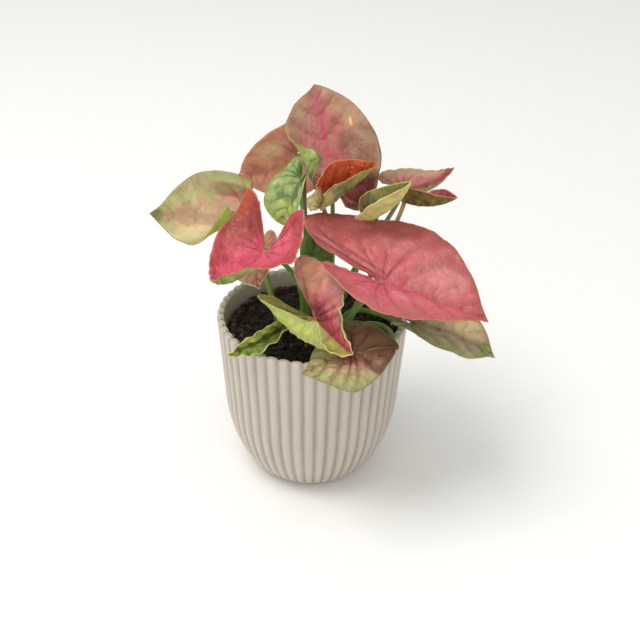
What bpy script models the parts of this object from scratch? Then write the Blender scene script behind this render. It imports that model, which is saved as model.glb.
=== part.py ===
"""Potted syngonium: a ribbed planter, a nursery pot of soil, three stems, and leaves on stalks.

Lengths in the tables are millimetres and angles are degrees. What is built is in metres, +Z up,
with the origin at the centre of the planter's underside.
"""
import math
from collections import namedtuple

import bmesh
import bpy
import numpy as np
from mathutils import Euler, Vector

MM = 0.001
OBJECT_NAME = "potted_syngonium"
FIT_GAP = 0.3
MERGE_DISTANCE = 0.00001

# Planter: a straight taper above the shoulder, a rounded bowl below it, and ribs all round.
PLANTER_HEIGHT = 70.0
PLANTER_RIM_RADIUS = 37.5
PLANTER_SHOULDER_HEIGHT = 36.0
PLANTER_SHOULDER_RADIUS = 35.2
PLANTER_BASE_RADIUS = 19.5
PLANTER_BOWL_POWER = 1.74
PLANTER_WALL = 3.0
PLANTER_FLOOR = 5.0
RIM_ROUNDING = 0.9
RIB_COUNT = 48
RIB_SEGMENTS = 3
RIB_DEPTH = 0.9
RIB_START_HEIGHT = 1.5
RIB_FULL_HEIGHT = 4.5
RIB_SQUARENESS = 2.5
FIRST_GROOVE_ANGLE = -87.0
INNER_FLUTE_SHARE = 0.2

# Nursery pot that stands on the planter's floor.
GROW_POT_TOP_RADIUS = 31.5
GROW_POT_BASE_RADIUS = 20.0
GROW_POT_TOP_HEIGHT = 63.5
GROW_POT_WALL = 0.8
GROW_POT_LIP = 0.7
GROW_POT_SEGMENTS = 40
DRAIN_HOLE_RADIUS = 2.5
DRAIN_HOLE_RING = 12.0
DRAIN_HOLE_COUNT = 6

SOIL_TOP_HEIGHT = 61.5
SOIL_LUMP_HEIGHT = 0.5
SOIL_RING_COUNT = 6

# Stems, each a short upright crown that stands in a socket in the soil.
STEM_RADIUS = 3.0
STEM_FOOT_HEIGHT = 54.0
STEM_TOP_HEIGHT = 68.0
STEM_SOCKET_DEPTH = 8.0
STEM_PLACES = {"left": (-9.0, 4.0), "back": (3.0, 9.0), "right": (8.0, -5.0)}

# Stalks rise from a ring round their stem and stop just under their blade.
STALK_RING_RADIUS = 5.0
STALK_FOOT_HEIGHT = 62.8
STALK_FOOT_RADIUS = 1.25
STALK_TOP_RADIUS = 0.9
STALK_CLEARANCE = 1.7
STALK_POINTS = 8

BLADE_THICKNESS = 0.6
BLADE_COLUMNS = 4
LARGE_BLADE_LENGTH = 34.0

COLOURS = {
    "planter": (0.80, 0.76, 0.69),
    "grow_pot": (0.13, 0.035, 0.028),
    "soil": (0.022, 0.014, 0.010),
    "stem": (0.13, 0.22, 0.05),
    "stalk": (0.15, 0.27, 0.05),
    "pink": (0.60, 0.20, 0.17),
    "rose": (0.55, 0.13, 0.13),
    "tan": (0.46, 0.26, 0.18),
    "orange": (0.50, 0.12, 0.05),
    "olive": (0.30, 0.28, 0.10),
    "green": (0.22, 0.34, 0.10),
    "pale_green": (0.42, 0.50, 0.24),
}
ROUGHNESS = {"planter": 0.4, "grow_pot": 0.45, "soil": 0.95}
LEAF_ROUGHNESS = 0.45

# half: width, lobe length, where the lobe points (spread), fold and curl at the base and at the
# tip, and how far the lobe lifts. stalk: its stem, where on the ring it starts, how far it leans
# out and rises there, and the way it comes from (tail) where it meets the blade.
half = namedtuple("half", "width lobe spread fold curl lift", defaults=(0.45, (20, 20), (0, 0), 0))
stalk = namedtuple("stalk", "stem around lean rise tail")
leaf = namedtuple(
    "leaf",
    "name tint joint heading pitch roll length left right stalk bend twist sweep fullness",
    defaults=(0, 0, 0, 0),
)

LEAVES = [
    leaf("crown_top", "tan", joint=(6.5, 18, 117.5), heading=101, pitch=41, roll=-11,
         length=38, bend=50, twist=10, sweep=5, fullness=0.7,
         left=half(width=30, lobe=14, spread=0.5, fold=(30, 20), curl=(155, 25), lift=40),
         right=half(width=21.5, lobe=15, spread=0.5, fold=(15, 5), curl=(40, 5), lift=5),
         stalk=stalk("back", around=50, lean=3, rise=20, tail=(1, -2, -16))),
    leaf("back_left", "tan", joint=(-7.5, 39, 119), heading=-156, pitch=-30, roll=-98,
         length=27.5, bend=-50, twist=5,
         left=half(width=17.5, lobe=14.5, fold=(10, 10)),
         right=half(width=19.5, lobe=11, fold=(0, 5), curl=(25, 5), lift=-60),
         stalk=stalk("back", around=100, lean=11, rise=12, tail=(3, 7, -32))),
    leaf("crown_folded", "orange", joint=(3.5, 2, 114), heading=29, pitch=24, roll=20,
         length=26.5, bend=25, twist=-5, sweep=-5, fullness=0.25,
         left=half(width=18.5, lobe=6.5, spread=0.4, fold=(85, 55), curl=(50, 15), lift=10),
         right=half(width=13.5, lobe=3, fold=(65, 70), curl=(30, 10), lift=20),
         stalk=stalk("back", around=-70, lean=0, rise=18, tail=(7, 5, -18))),
    leaf("left_broad", "olive", joint=(-27, 10.5, 109.5), heading=175, pitch=-23, roll=-28,
         length=36.5, bend=40, twist=-10, sweep=-5,
         left=half(width=23, lobe=5, spread=0.75, fold=(0, 0), curl=(145, -10), lift=25),
         right=half(width=26, lobe=8, spread=0.3, fold=(-40, 30), lift=-45),
         stalk=stalk("left", around=160, lean=4, rise=13, tail=(4, 0, -15))),
    leaf("crown_small", "pale_green", joint=(-5, 6.5, 124), heading=-148, pitch=-50, roll=0,
         length=19, bend=-25, twist=-10, sweep=10, fullness=1,
         left=half(width=11.5, lobe=3.5, fold=(20, 10), curl=(30, 5), lift=15),
         right=half(width=14, lobe=6, fold=(0, 20), curl=(-30, -5), lift=30),
         stalk=stalk("back", around=-180, lean=1, rise=27, tail=(1, 0, -21))),
    leaf("right_upper", "tan", joint=(34.5, 24, 113), heading=-14, pitch=10, roll=0,
         length=22, bend=35, sweep=5, fullness=0.2,
         left=half(width=12.5, lobe=11, fold=(20, 0), curl=(5, -10), lift=15),
         right=half(width=7, lobe=7, fold=(-5, -25), curl=(-10, 0)),
         stalk=stalk("right", around=90, lean=4, rise=18, tail=(-7, -14, -11))),
    leaf("right_middle", "olive", joint=(34, 9.5, 114), heading=-35, pitch=-4, roll=2,
         length=23.5, bend=45, twist=5, sweep=5, fullness=1,
         left=half(width=8, lobe=6.5, fold=(-20, 60), curl=(-10, 0)),
         right=half(width=9, lobe=7, fold=(80, 55), curl=(0, 5)),
         stalk=stalk("right", around=-30, lean=6, rise=23, tail=(-5, -7, -13))),
    leaf("right_inner", "olive", joint=(21, -3.5, 113), heading=-8, pitch=25, roll=24,
         length=24, bend=60, twist=-5, fullness=0.25,
         left=half(width=9.5, lobe=3.5, fold=(40, 35), curl=(-5, -5)),
         right=half(width=9.5, lobe=5, fold=(70, 85), curl=(-10, 0)),
         stalk=stalk("back", around=10, lean=7, rise=8, tail=(8, 31, 0))),
    leaf("left_cupped", "rose", joint=(-17.5, -16.5, 104.5), heading=-132, pitch=-34, roll=-20,
         length=35, bend=85, twist=45, sweep=-10, fullness=-0.3,
         left=half(width=19, lobe=23, fold=(20, 40), curl=(50, -25), lift=55),
         right=half(width=18, lobe=17.5, spread=0.85, fold=(5, 40), curl=(-30, 50), lift=65),
         stalk=stalk("left", around=-20, lean=3, rise=20, tail=(7, 8, -6))),
    leaf("front_large", "pink", joint=(25.5, -23, 97), heading=-14, pitch=-12, roll=21,
         length=40, bend=5, sweep=-10,
         left=half(width=29, lobe=35, fold=(0, 20), curl=(-15, -10), lift=20),
         right=half(width=22.5, lobe=23.5, spread=0.35, fold=(35, 30), curl=(-10, -20), lift=15),
         stalk=stalk("right", around=-70, lean=6, rise=11, tail=(-9, 4, -11))),
    leaf("right_low", "tan", joint=(38, -15.5, 75.5), heading=-9, pitch=-3, roll=16,
         length=35.5, bend=-40, twist=10, sweep=-5,
         left=half(width=16, lobe=8, fold=(10, 30)),
         right=half(width=16.5, lobe=8, fold=(35, 0), curl=(20, 5)),
         stalk=stalk("right", around=50, lean=3, rise=17, tail=(-7, 1, -1))),
    leaf("front_rolled", "pink", joint=(1, -27, 83.5), heading=-39, pitch=-35, roll=31,
         length=25.5, bend=65, twist=-10, fullness=1,
         left=half(width=18, lobe=21, spread=0.55, fold=(15, 90), lift=-5),
         right=half(width=23.5, lobe=19, spread=0.65, fold=(-60, 20), curl=(225, 170), lift=25),
         stalk=stalk("left", around=-60, lean=11, rise=6, tail=(-3, 8, -11))),
    leaf("over_rim", "tan", joint=(14.5, -40.5, 78), heading=-173, pitch=-15, roll=5,
         length=20, bend=-20, twist=10, fullness=0.05,
         left=half(width=17, lobe=15.5, spread=0.15, fold=(-15, -10), curl=(-30, -25), lift=-15),
         right=half(width=16, lobe=17, spread=0.15, fold=(20, 10), curl=(10, 10), lift=-30),
         stalk=stalk("right", around=10, lean=17, rise=12, tail=(25, 3, -2))),
    leaf("left_low_folded", "green", joint=(-11, -18, 73), heading=-134, pitch=-1, roll=-49,
         length=26.5, bend=-5, twist=-5, sweep=-5, fullness=0.4,
         left=half(width=8, lobe=3, fold=(90, 30), curl=(30, -5)),
         right=half(width=7, lobe=4, fold=(65, 55), curl=(5, -5)),
         stalk=stalk("left", around=-100, lean=6, rise=4, tail=(1, 6, -3))),
    leaf("left_hidden", "tan", joint=(-20.5, 0, 97), heading=-95, pitch=-17, roll=31,
         length=18.5, bend=-20, sweep=5,
         left=half(width=9, lobe=8, fold=(10, -5), curl=(0, -10)),
         right=half(width=14.5, lobe=8, fold=(10, 0), curl=(0, -5)),
         stalk=stalk("left", around=-160, lean=3, rise=16, tail=(2, 1, -12))),
    leaf("heart_young", "green", joint=(-1, -4, 93), heading=72, pitch=48, roll=38,
         length=17, bend=5, twist=-5,
         left=half(width=9.5, lobe=5, fold=(50, 15), curl=(15, -5)),
         right=half(width=8.5, lobe=5, fold=(35, 35)),
         stalk=stalk("back", around=-110, lean=3, rise=11, tail=(1, 3, -12))),
]


def clear_scene():
    """Remove every object that the scene starts with."""
    for item in list(bpy.data.objects):
        bpy.data.objects.remove(item, do_unlink=True)


def make_collection(name):
    """Make a collection and link it to the scene."""
    collection = bpy.data.collections.new(name)
    bpy.context.scene.collection.children.link(collection)
    return collection


def make_material(name, colour, roughness):
    """Make a plain Principled material."""
    material = bpy.data.materials.new(name)
    material.use_nodes = True
    shader = material.node_tree.nodes["Principled BSDF"]
    shader.inputs["Base Color"].default_value = (*colour, 1.0)
    shader.inputs["Roughness"].default_value = roughness
    shader.inputs["Metallic"].default_value = 0.0
    return material


def add_object(name, data, colour, collection):
    """Link an object that holds the data, with a material of its own in the named colour."""
    item = bpy.data.objects.new(name, data)
    collection.objects.link(item)
    data.materials.append(make_material(name, COLOURS[colour], ROUGHNESS.get(colour, LEAF_ROUGHNESS)))
    return item


def smooth(mesh, angle):
    """Shade a mesh smooth, with sharp edges past an angle in degrees."""
    mesh.shade_smooth()
    mesh.set_sharp_from_angle(angle=math.radians(angle))


def finished_mesh(item):
    """Return the mesh of an object with its modifiers applied."""
    graph = bpy.context.evaluated_depsgraph_get()
    return bpy.data.meshes.new_from_object(item.evaluated_get(graph))


def turned_mesh(name, profile, segments):
    """Turn a profile of (radius, height) pairs about the Z axis and return the closed mesh."""
    mesh = bpy.data.meshes.new(name)
    points = [(radius * MM, 0.0, height * MM) for radius, height in profile]
    edges = [(index, index + 1) for index in range(len(points) - 1)]
    mesh.from_pydata(points, edges, [])
    item = bpy.data.objects.new(name + "_profile", mesh)
    bpy.context.scene.collection.objects.link(item)
    screw = item.modifiers.new("Turn", "SCREW")
    screw.steps = segments
    screw.render_steps = segments
    screw.use_merge_vertices = True
    screw.merge_threshold = MERGE_DISTANCE
    bpy.context.view_layer.update()
    turned = finished_mesh(item)
    turned.name = name
    bpy.data.objects.remove(item, do_unlink=True)
    bpy.data.meshes.remove(mesh)
    return turned


def add_cutter(name, place, radius, bottom, top, collection):
    """Add an upright cylinder that cuts other pieces and isn't one itself."""
    mesh = bpy.data.meshes.new(name)
    shape = bmesh.new()
    bmesh.ops.create_cone(
        shape, cap_ends=True, segments=16, radius1=radius * MM, radius2=radius * MM, depth=(top - bottom) * MM
    )
    shape.to_mesh(mesh)
    shape.free()
    cutter = bpy.data.objects.new(name, mesh)
    cutter.location = (place[0] * MM, place[1] * MM, (bottom + top) / 2 * MM)
    cutter.hide_render = True
    cutter.display_type = "WIRE"
    collection.objects.link(cutter)
    return cutter


def cut(item, cutter):
    """Cut one solid out of another."""
    boolean = item.modifiers.new("Cut " + cutter.name, "BOOLEAN")
    boolean.operation = "DIFFERENCE"
    boolean.solver = "EXACT"
    boolean.object = cutter


def planter_radius(height):
    """Outer radius of the planter's wall, without its ribs."""
    if height >= PLANTER_SHOULDER_HEIGHT:
        share = (height - PLANTER_SHOULDER_HEIGHT) / (PLANTER_HEIGHT - PLANTER_SHOULDER_HEIGHT)
        return PLANTER_SHOULDER_RADIUS + share * (PLANTER_RIM_RADIUS - PLANTER_SHOULDER_RADIUS)
    drop = 1.0 - height / PLANTER_SHOULDER_HEIGHT
    bulge = (1.0 - drop**PLANTER_BOWL_POWER) ** (1.0 / PLANTER_BOWL_POWER)
    return PLANTER_BASE_RADIUS + bulge * (PLANTER_SHOULDER_RADIUS - PLANTER_BASE_RADIUS)


def rib_height(angle):
    """Height of the ribs at an angle, from 0 in a groove to 1 along the top of a rib."""
    turn = (angle - math.radians(FIRST_GROOVE_ANGLE)) / math.tau * RIB_COUNT
    return 1.0 - abs(2.0 * (turn % 1.0) - 1.0) ** RIB_SQUARENESS


def rib_fade(height):
    """How far the ribs have grown at a height: none at the foot, all of it a little above."""
    share = (height - RIB_START_HEIGHT) / (RIB_FULL_HEIGHT - RIB_START_HEIGHT)
    share = min(1.0, max(0.0, share))
    return share * share * (3.0 - 2.0 * share)


def make_planter(collection):
    """Turn the planter's wall, then press the grooves between its ribs into it."""
    inner_heights = [12.0, 24.0, PLANTER_SHOULDER_HEIGHT, PLANTER_HEIGHT - RIM_ROUNDING]
    outer_heights = [PLANTER_HEIGHT - RIM_ROUNDING, 52.0, PLANTER_SHOULDER_HEIGHT, 22.0, 12.0, 5.0, 1.5, 0.0]
    floor_radius = planter_radius(PLANTER_FLOOR) - 1.5 * PLANTER_WALL
    profile = [(0.0, PLANTER_FLOOR), (floor_radius, PLANTER_FLOOR)]
    profile += [(planter_radius(height) - PLANTER_WALL, height) for height in inner_heights]
    rim_radius = PLANTER_RIM_RADIUS - PLANTER_WALL / 2
    profile += [(rim_radius - 0.6, PLANTER_HEIGHT), (rim_radius + 0.6, PLANTER_HEIGHT)]
    profile += [(planter_radius(height), height) for height in outer_heights]
    profile += [(0.0, 0.0)]
    mesh = turned_mesh("planter", profile, RIB_COUNT * RIB_SEGMENTS)
    for vertex in mesh.vertices:
        x, y, height = (value / MM for value in vertex.co)
        radius = math.hypot(x, y)
        depth_in_wall = (planter_radius(height) - radius) / PLANTER_WALL
        if height < PLANTER_FLOOR + 1.0 and depth_in_wall > 0.5:
            continue
        share = 1.0 - (1.0 - INNER_FLUTE_SHARE) * min(1.0, max(0.0, depth_in_wall))
        groove = RIB_DEPTH * (1.0 - rib_height(math.atan2(y, x))) * rib_fade(height) * share
        scale = (radius - groove) / radius
        vertex.co.x *= scale
        vertex.co.y *= scale
    smooth(mesh, 50)
    add_object("planter", mesh, "planter", collection)


def grow_pot_radius(height):
    """Outer radius of the nursery pot's tapered wall."""
    share = (height - PLANTER_FLOOR) / (GROW_POT_TOP_HEIGHT - PLANTER_FLOOR)
    return GROW_POT_BASE_RADIUS + share * (GROW_POT_TOP_RADIUS - GROW_POT_BASE_RADIUS)


def make_grow_pot(collection, cutters):
    """Turn the thin nursery pot with its lip, and cut the drain holes in its floor."""
    foot = PLANTER_FLOOR + FIT_GAP
    top = GROW_POT_TOP_HEIGHT
    lip = GROW_POT_TOP_RADIUS + GROW_POT_LIP
    profile = [
        (0.0, foot + GROW_POT_WALL),
        (grow_pot_radius(foot) - GROW_POT_WALL, foot + GROW_POT_WALL),
        (grow_pot_radius(top) - GROW_POT_WALL, top),
        (lip, top),
        (lip, top - 2.2),
        (grow_pot_radius(top - 2.5), top - 2.5),
        (grow_pot_radius(foot + 1.0), foot + 1.0),
        (grow_pot_radius(foot) - 1.0, foot),
        (0.0, foot),
    ]
    mesh = turned_mesh("grow_pot", profile, GROW_POT_SEGMENTS)
    smooth(mesh, 40)
    item = add_object("grow_pot", mesh, "grow_pot", collection)
    for index in range(DRAIN_HOLE_COUNT):
        angle = math.tau * index / DRAIN_HOLE_COUNT
        place = (DRAIN_HOLE_RING * math.cos(angle), DRAIN_HOLE_RING * math.sin(angle))
        name = "drain_hole_%d" % (index + 1)
        cut(item, add_cutter(name, place, DRAIN_HOLE_RADIUS, foot - 2.0, foot + 3.0, cutters))


def soil_lump(x, y):
    """Height of the soil's uneven surface above or below its level."""
    wave = math.sin(0.31 * x + 0.7) * math.cos(0.27 * y - 0.4) + 0.6 * math.sin(0.53 * x - 0.44 * y)
    return SOIL_LUMP_HEIGHT * wave


def make_soil(collection, cutters):
    """Turn the block of soil, make its top uneven, and cut a socket for each stem."""
    foot = PLANTER_FLOOR + 2 * FIT_GAP + GROW_POT_WALL
    wall = GROW_POT_WALL + FIT_GAP
    top_radius = grow_pot_radius(SOIL_TOP_HEIGHT) - wall - 0.2
    ring_width = top_radius / SOIL_RING_COUNT
    profile = [(ring_width * index, SOIL_TOP_HEIGHT) for index in range(SOIL_RING_COUNT + 1)]
    profile += [(grow_pot_radius(foot) - wall - 0.4, foot), (0.0, foot)]
    mesh = turned_mesh("soil", profile, GROW_POT_SEGMENTS)
    for vertex in mesh.vertices:
        x, y, height = (value / MM for value in vertex.co)
        if height > SOIL_TOP_HEIGHT - 1.0 and math.hypot(x, y) < top_radius - 1.0:
            vertex.co.z += soil_lump(x, y) * MM
    smooth(mesh, 60)
    item = add_object("soil", mesh, "soil", collection)
    for name, place in STEM_PLACES.items():
        radius = STEM_RADIUS + FIT_GAP + 0.05
        bottom = STEM_FOOT_HEIGHT - FIT_GAP
        cut(item, add_cutter("socket_" + name, place, radius, bottom, SOIL_TOP_HEIGHT + 4.0, cutters))


def make_stem(name, place, collection):
    """Turn one short stem with the rings of its leaf scars."""
    profile = [(0.0, STEM_TOP_HEIGHT), (1.6, STEM_TOP_HEIGHT - 0.4), (2.5, STEM_TOP_HEIGHT - 1.5)]
    for ring in (3, 2, 1):
        height = SOIL_TOP_HEIGHT + 1.6 * ring
        profile += [(STEM_RADIUS - 0.05, height), (STEM_RADIUS - 0.35, height - 0.5)]
    profile += [(STEM_RADIUS - 0.2, SOIL_TOP_HEIGHT - 1.0), (STEM_RADIUS - 0.6, STEM_FOOT_HEIGHT)]
    profile += [(0.0, STEM_FOOT_HEIGHT)]
    mesh = turned_mesh("stem_" + name, profile, 14)
    smooth(mesh, 60)
    item = add_object("stem_" + name, mesh, "stem", collection)
    item.location = (place[0] * MM, place[1] * MM, 0.0)


def smooth_curve(points, steps):
    """Catmull-Rom curve through the points, with the given steps in each span."""
    first = [2 * a - b for a, b in zip(points[0], points[1])]
    last = [2 * a - b for a, b in zip(points[-1], points[-2])]
    padded = [np.array(point, dtype=float) for point in [first, *points, last]]
    curve = []
    for p0, p1, p2, p3 in zip(padded, padded[1:], padded[2:], padded[3:]):
        for step in range(steps):
            t = step / steps
            linear = (p2 - p0) * t
            square = (2 * p0 - 5 * p1 + 4 * p2 - p3) * t**2
            cube = (3 * p1 - p0 - 3 * p2 + p3) * t**3
            curve.append((2 * p1 + linear + square + cube) / 2)
    curve.append(padded[-2])
    return curve


def half_margin(blade, side, steps):
    """Margin of one half of a flat blade, from its sinus round the lobe to the tip."""
    length, width, lobe, full = blade.length, side.width, side.lobe, blade.fullness
    points = [
        (-0.80 * lobe, max(0.05, side.spread - 0.32) * width),
        (-lobe, (side.spread - 0.10) * width),
        (-0.93 * lobe, (side.spread + 0.14) * width),
        (-0.50 * lobe, (0.62 + 0.38 * min(1.0, side.spread + 0.3)) * 0.95 * width),
        (0.10 * length, width),
        (0.42 * length, (0.83 + 0.12 * full) * width),
        (0.72 * length, (0.46 + 0.26 * full) * width),
        (0.90 * length, (0.14 + 0.22 * full) * width),
        (length, 0.0),
    ]
    return smooth_curve(points, steps)


def midrib_starts(margin, length):
    """Where on the midrib the side vein to each margin point starts."""
    starts = []
    reach = 0.0
    for x, y in margin:
        reach = max(reach, x - 0.45 * y)
        starts.append(reach)
    starts[-1] = length
    return starts


def arc(distance, start, rate):
    """Steps along and up after a distance on an arc that starts at an angle and turns at a rate."""
    if abs(rate) < 1e-6:
        return distance * math.cos(start), distance * math.sin(start)
    end = start + rate * distance
    return (math.sin(end) - math.sin(start)) / rate, (math.cos(start) - math.cos(end)) / rate


def mix(pair, share):
    """Blend the two values of a pair."""
    return pair[0] * (1.0 - share) + pair[1] * share


def curved_point(blade, side, direction, x, y):
    """Place a point of the flat blade on its folded, curled and bent surface, in millimetres."""
    share = min(1.0, max(0.0, (x + side.lobe) / (blade.length + side.lobe)))
    fold = math.radians(mix(side.fold, share))
    curl = math.radians(mix(side.curl, share)) / side.width
    across, up = arc(y, fold, curl)
    past_joint = min(1.0, max(0.0, x / blade.length))
    rate = math.radians(blade.bend) / blade.length if x >= 0.0 else math.radians(side.lift) / side.lobe
    forward, rise = arc(abs(x), 0.0, rate)
    slope = rate * abs(x)
    heading = 1.0 if x >= 0.0 else -1.0
    twist = math.radians(blade.twist) * past_joint
    aside = direction * across * math.cos(twist) - up * math.sin(twist)
    above = direction * across * math.sin(twist) + up * math.cos(twist)
    ahead = heading * (forward - above * math.sin(slope))
    sweep = math.radians(blade.sweep) * past_joint
    return Vector(
        (
            ahead * math.cos(sweep / 2) - aside * math.sin(sweep),
            ahead * math.sin(sweep / 2) + aside * math.cos(sweep),
            rise + above * math.cos(slope),
        )
    )


def blade_frame(blade):
    """Rotation of a blade as Euler angles, and its place in metres."""
    angles = (math.radians(blade.roll), -math.radians(blade.pitch), math.radians(blade.heading))
    return Euler(angles), Vector(blade.joint) * MM


def make_blade(blade, collection):
    """Shape one blade from a flat grid, with the lobes fanned out from its joint."""
    steps = 2 if blade.length > LARGE_BLADE_LENGTH else 1
    shape = bmesh.new()
    margins = {1: half_margin(blade, blade.left, steps), -1: half_margin(blade, blade.right, steps)}
    starts = {key: midrib_starts(margin, blade.length) for key, margin in margins.items()}
    rows = len(margins[1]) - 1
    bmesh.ops.create_grid(shape, x_segments=2 * BLADE_COLUMNS, y_segments=rows, size=1.0)
    for vertex in shape.verts:
        column = round(vertex.co.x * BLADE_COLUMNS)
        row = round((vertex.co.y + 1.0) / 2.0 * rows)
        direction = -1 if column > 0 else 1
        share = abs(column) / BLADE_COLUMNS
        x, y = margins[direction][row]
        start = starts[direction][row] if column else (starts[1][row] + starts[-1][row]) / 2
        side = blade.left if direction > 0 else blade.right
        point = curved_point(blade, side, direction, start + share * (x - start), share * y)
        vertex.co = point * MM
    bmesh.ops.remove_doubles(shape, verts=shape.verts, dist=MERGE_DISTANCE)
    mesh = bpy.data.meshes.new("leaf_" + blade.name)
    shape.to_mesh(mesh)
    shape.free()
    smooth(mesh, 60)
    item = add_object("leaf_" + blade.name, mesh, blade.tint, collection)
    item.rotation_euler, item.location = blade_frame(blade)
    solid = item.modifiers.new("Thickness", "SOLIDIFY")
    solid.thickness = BLADE_THICKNESS * MM
    solid.offset = 0.0


def make_stalk(blade, collection):
    """Draw one stalk from its stem's ring to just under its blade."""
    route = blade.stalk
    centre_x, centre_y = STEM_PLACES[route.stem]
    angle = math.radians(route.around)
    out = Vector((math.cos(angle), math.sin(angle), 0.0))
    foot = Vector((centre_x, centre_y, STALK_FOOT_HEIGHT)) + out * STALK_RING_RADIUS
    turn, _ = blade_frame(blade)
    top = Vector(blade.joint) - turn.to_matrix().col[2] * STALK_CLEARANCE
    tail = Vector(route.tail)
    curve = bpy.data.curves.new("stalk_" + blade.name, "CURVE")
    curve.dimensions = "3D"
    curve.resolution_u = STALK_POINTS
    curve.bevel_depth = STALK_FOOT_RADIUS * MM
    curve.bevel_resolution = 2
    curve.use_fill_caps = True
    spline = curve.splines.new("BEZIER")
    spline.bezier_points.add(1)
    lower, upper = spline.bezier_points
    handle = out * route.lean + Vector((0.0, 0.0, route.rise))
    lower.co = foot * MM
    lower.handle_right = (foot + handle) * MM
    lower.handle_left = (foot - handle) * MM
    upper.co = top * MM
    upper.handle_left = (top + tail) * MM
    upper.handle_right = (top - tail) * MM
    upper.radius = STALK_TOP_RADIUS / STALK_FOOT_RADIUS
    add_object("stalk_" + blade.name, curve, "stalk", collection)


def main():
    """Build the whole plant in its pots."""
    clear_scene()
    collection = make_collection(OBJECT_NAME)
    cutters = make_collection(OBJECT_NAME + "_cutters")
    make_planter(collection)
    make_grow_pot(collection, cutters)
    make_soil(collection, cutters)
    for name, place in STEM_PLACES.items():
        make_stem(name, place, collection)
    for blade in LEAVES:
        make_blade(blade, collection)
        make_stalk(blade, collection)


main()
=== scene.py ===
"""Potted syngonium: finished leaves, stalks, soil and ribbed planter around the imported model.

Lengths in the tables are millimetres and angles are degrees. What is built is in metres, +Z up.
"""

import math
from collections import namedtuple

import bmesh
import bpy
import numpy as np
from bpy.props import FloatProperty, FloatVectorProperty, IntProperty, PointerProperty
from mathutils import Euler, Matrix, Vector, noise


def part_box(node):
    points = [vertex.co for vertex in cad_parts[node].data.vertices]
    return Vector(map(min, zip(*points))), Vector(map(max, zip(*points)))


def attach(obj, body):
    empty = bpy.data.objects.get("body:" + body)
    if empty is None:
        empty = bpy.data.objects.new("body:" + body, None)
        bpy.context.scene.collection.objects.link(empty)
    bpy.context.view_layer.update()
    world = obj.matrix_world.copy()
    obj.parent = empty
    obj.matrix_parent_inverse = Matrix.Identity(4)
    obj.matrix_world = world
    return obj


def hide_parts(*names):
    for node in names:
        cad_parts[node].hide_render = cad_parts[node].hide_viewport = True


bl_info = {
    "name": "Potted Syngonium",
    "version": (1, 0, 0),
    "blender": (4, 5, 0),
    "location": "3D View > Sidebar > Syngonium",
    "description": "Pink-leaved arrowhead plant in a small ribbed planter",
    "category": "Object",
}

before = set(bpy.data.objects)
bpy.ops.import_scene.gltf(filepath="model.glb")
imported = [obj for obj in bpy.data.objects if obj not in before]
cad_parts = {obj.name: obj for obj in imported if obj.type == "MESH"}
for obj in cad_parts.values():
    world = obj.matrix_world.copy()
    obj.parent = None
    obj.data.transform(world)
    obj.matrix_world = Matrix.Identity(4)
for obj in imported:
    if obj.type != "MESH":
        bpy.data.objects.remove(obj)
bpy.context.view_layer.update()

MM = 0.001


def top_of(node):
    """Height of a node's highest point, in millimetres."""
    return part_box(node)[1].z / MM


# Planter, with the sizes that its node doesn't give.
PLANTER_HEIGHT = top_of("planter")
RIM_RADIUS = 37.5
SHOULDER_HEIGHT = 36.0
SHOULDER_RADIUS = 35.2
BASE_RADIUS = 19.5
BOWL_POWER = 1.74
WALL = 3.0
FLOOR = 5.0
FILLET = 6.0
RIM_ROUNDING = 1.25
RIM_STEPS = 13
FOOT_HEIGHTS = (3.2, 2.4, 1.7, 1.1)
RIB_COUNT = 48
RIB_SEGMENTS = 14
RIB_START_HEIGHT = 1.5
RIB_FULL_HEIGHT = 4.5
RIB_SQUARENESS = 2.3
FIRST_GROOVE_ANGLE = -87.0
INNER_FLUTE_SHARE = 0.25
RIM_FLUTE_SHARE = 0.8
RIM_FLUTE_HEIGHT = 2.6
RIM_FLUTE_FADE = 1.6
RIM_DIP = 0.55

# Nursery pot and soil. The lip is drawn as steps outwards and upwards from its top outer edge.
GROW_POT_TOP = top_of("grow_pot")
GROW_POT_TOP_RADIUS = 31.5
GROW_POT_BASE_RADIUS = 20.0
GROW_POT_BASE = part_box("grow_pot")[0].z / MM
GROW_POT_WALL = 0.8
GROW_POT_LIP = ((-0.65, -0.15), (-0.3, 0.0), (0.35, 0.0), (0.7, -0.3), (0.7, -1.9), (0.4, -2.2))
SOIL_LEVEL = 61.5
SOIL_GAP = 0.35
SOIL_RINGS = 64
SOIL_SEGMENTS = 200
SOIL_LUMP_HEIGHT = 1.7
SOIL_CRUMB_HEIGHT = 0.8

# Stems and stalks. Each stalk starts below the soil, off its foot by the steps inwards and down.
STEM_PLACES = {"left": (-9.0, 4.0), "back": (3.0, 9.0), "right": (8.0, -5.0)}
STEM_TOP = top_of("stem_left")
STEM_RADIUS = 2.7
STEM_CLEARANCE = 3.4
STEM_DOME = 2.0
LEAF_SCAR_GAP = 0.0021
STALK_RING_RADIUS = 5.0
STALK_FOOT_HEIGHT = 62.8
STALK_FOOT_RADIUS = 1.2
STALK_TOP_RADIUS = 0.8
STALK_ROOT = ((2.4, 5.5), (1.1, 2.6))
STALK_STOP = 1.7
STALK_SINK = (0.7, 1.15)
STALK_STEPS = 44
STALK_SIDES = 16
SHEATH_LENGTH = 11.0
COLLAR_LENGTH = 2.0

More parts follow.
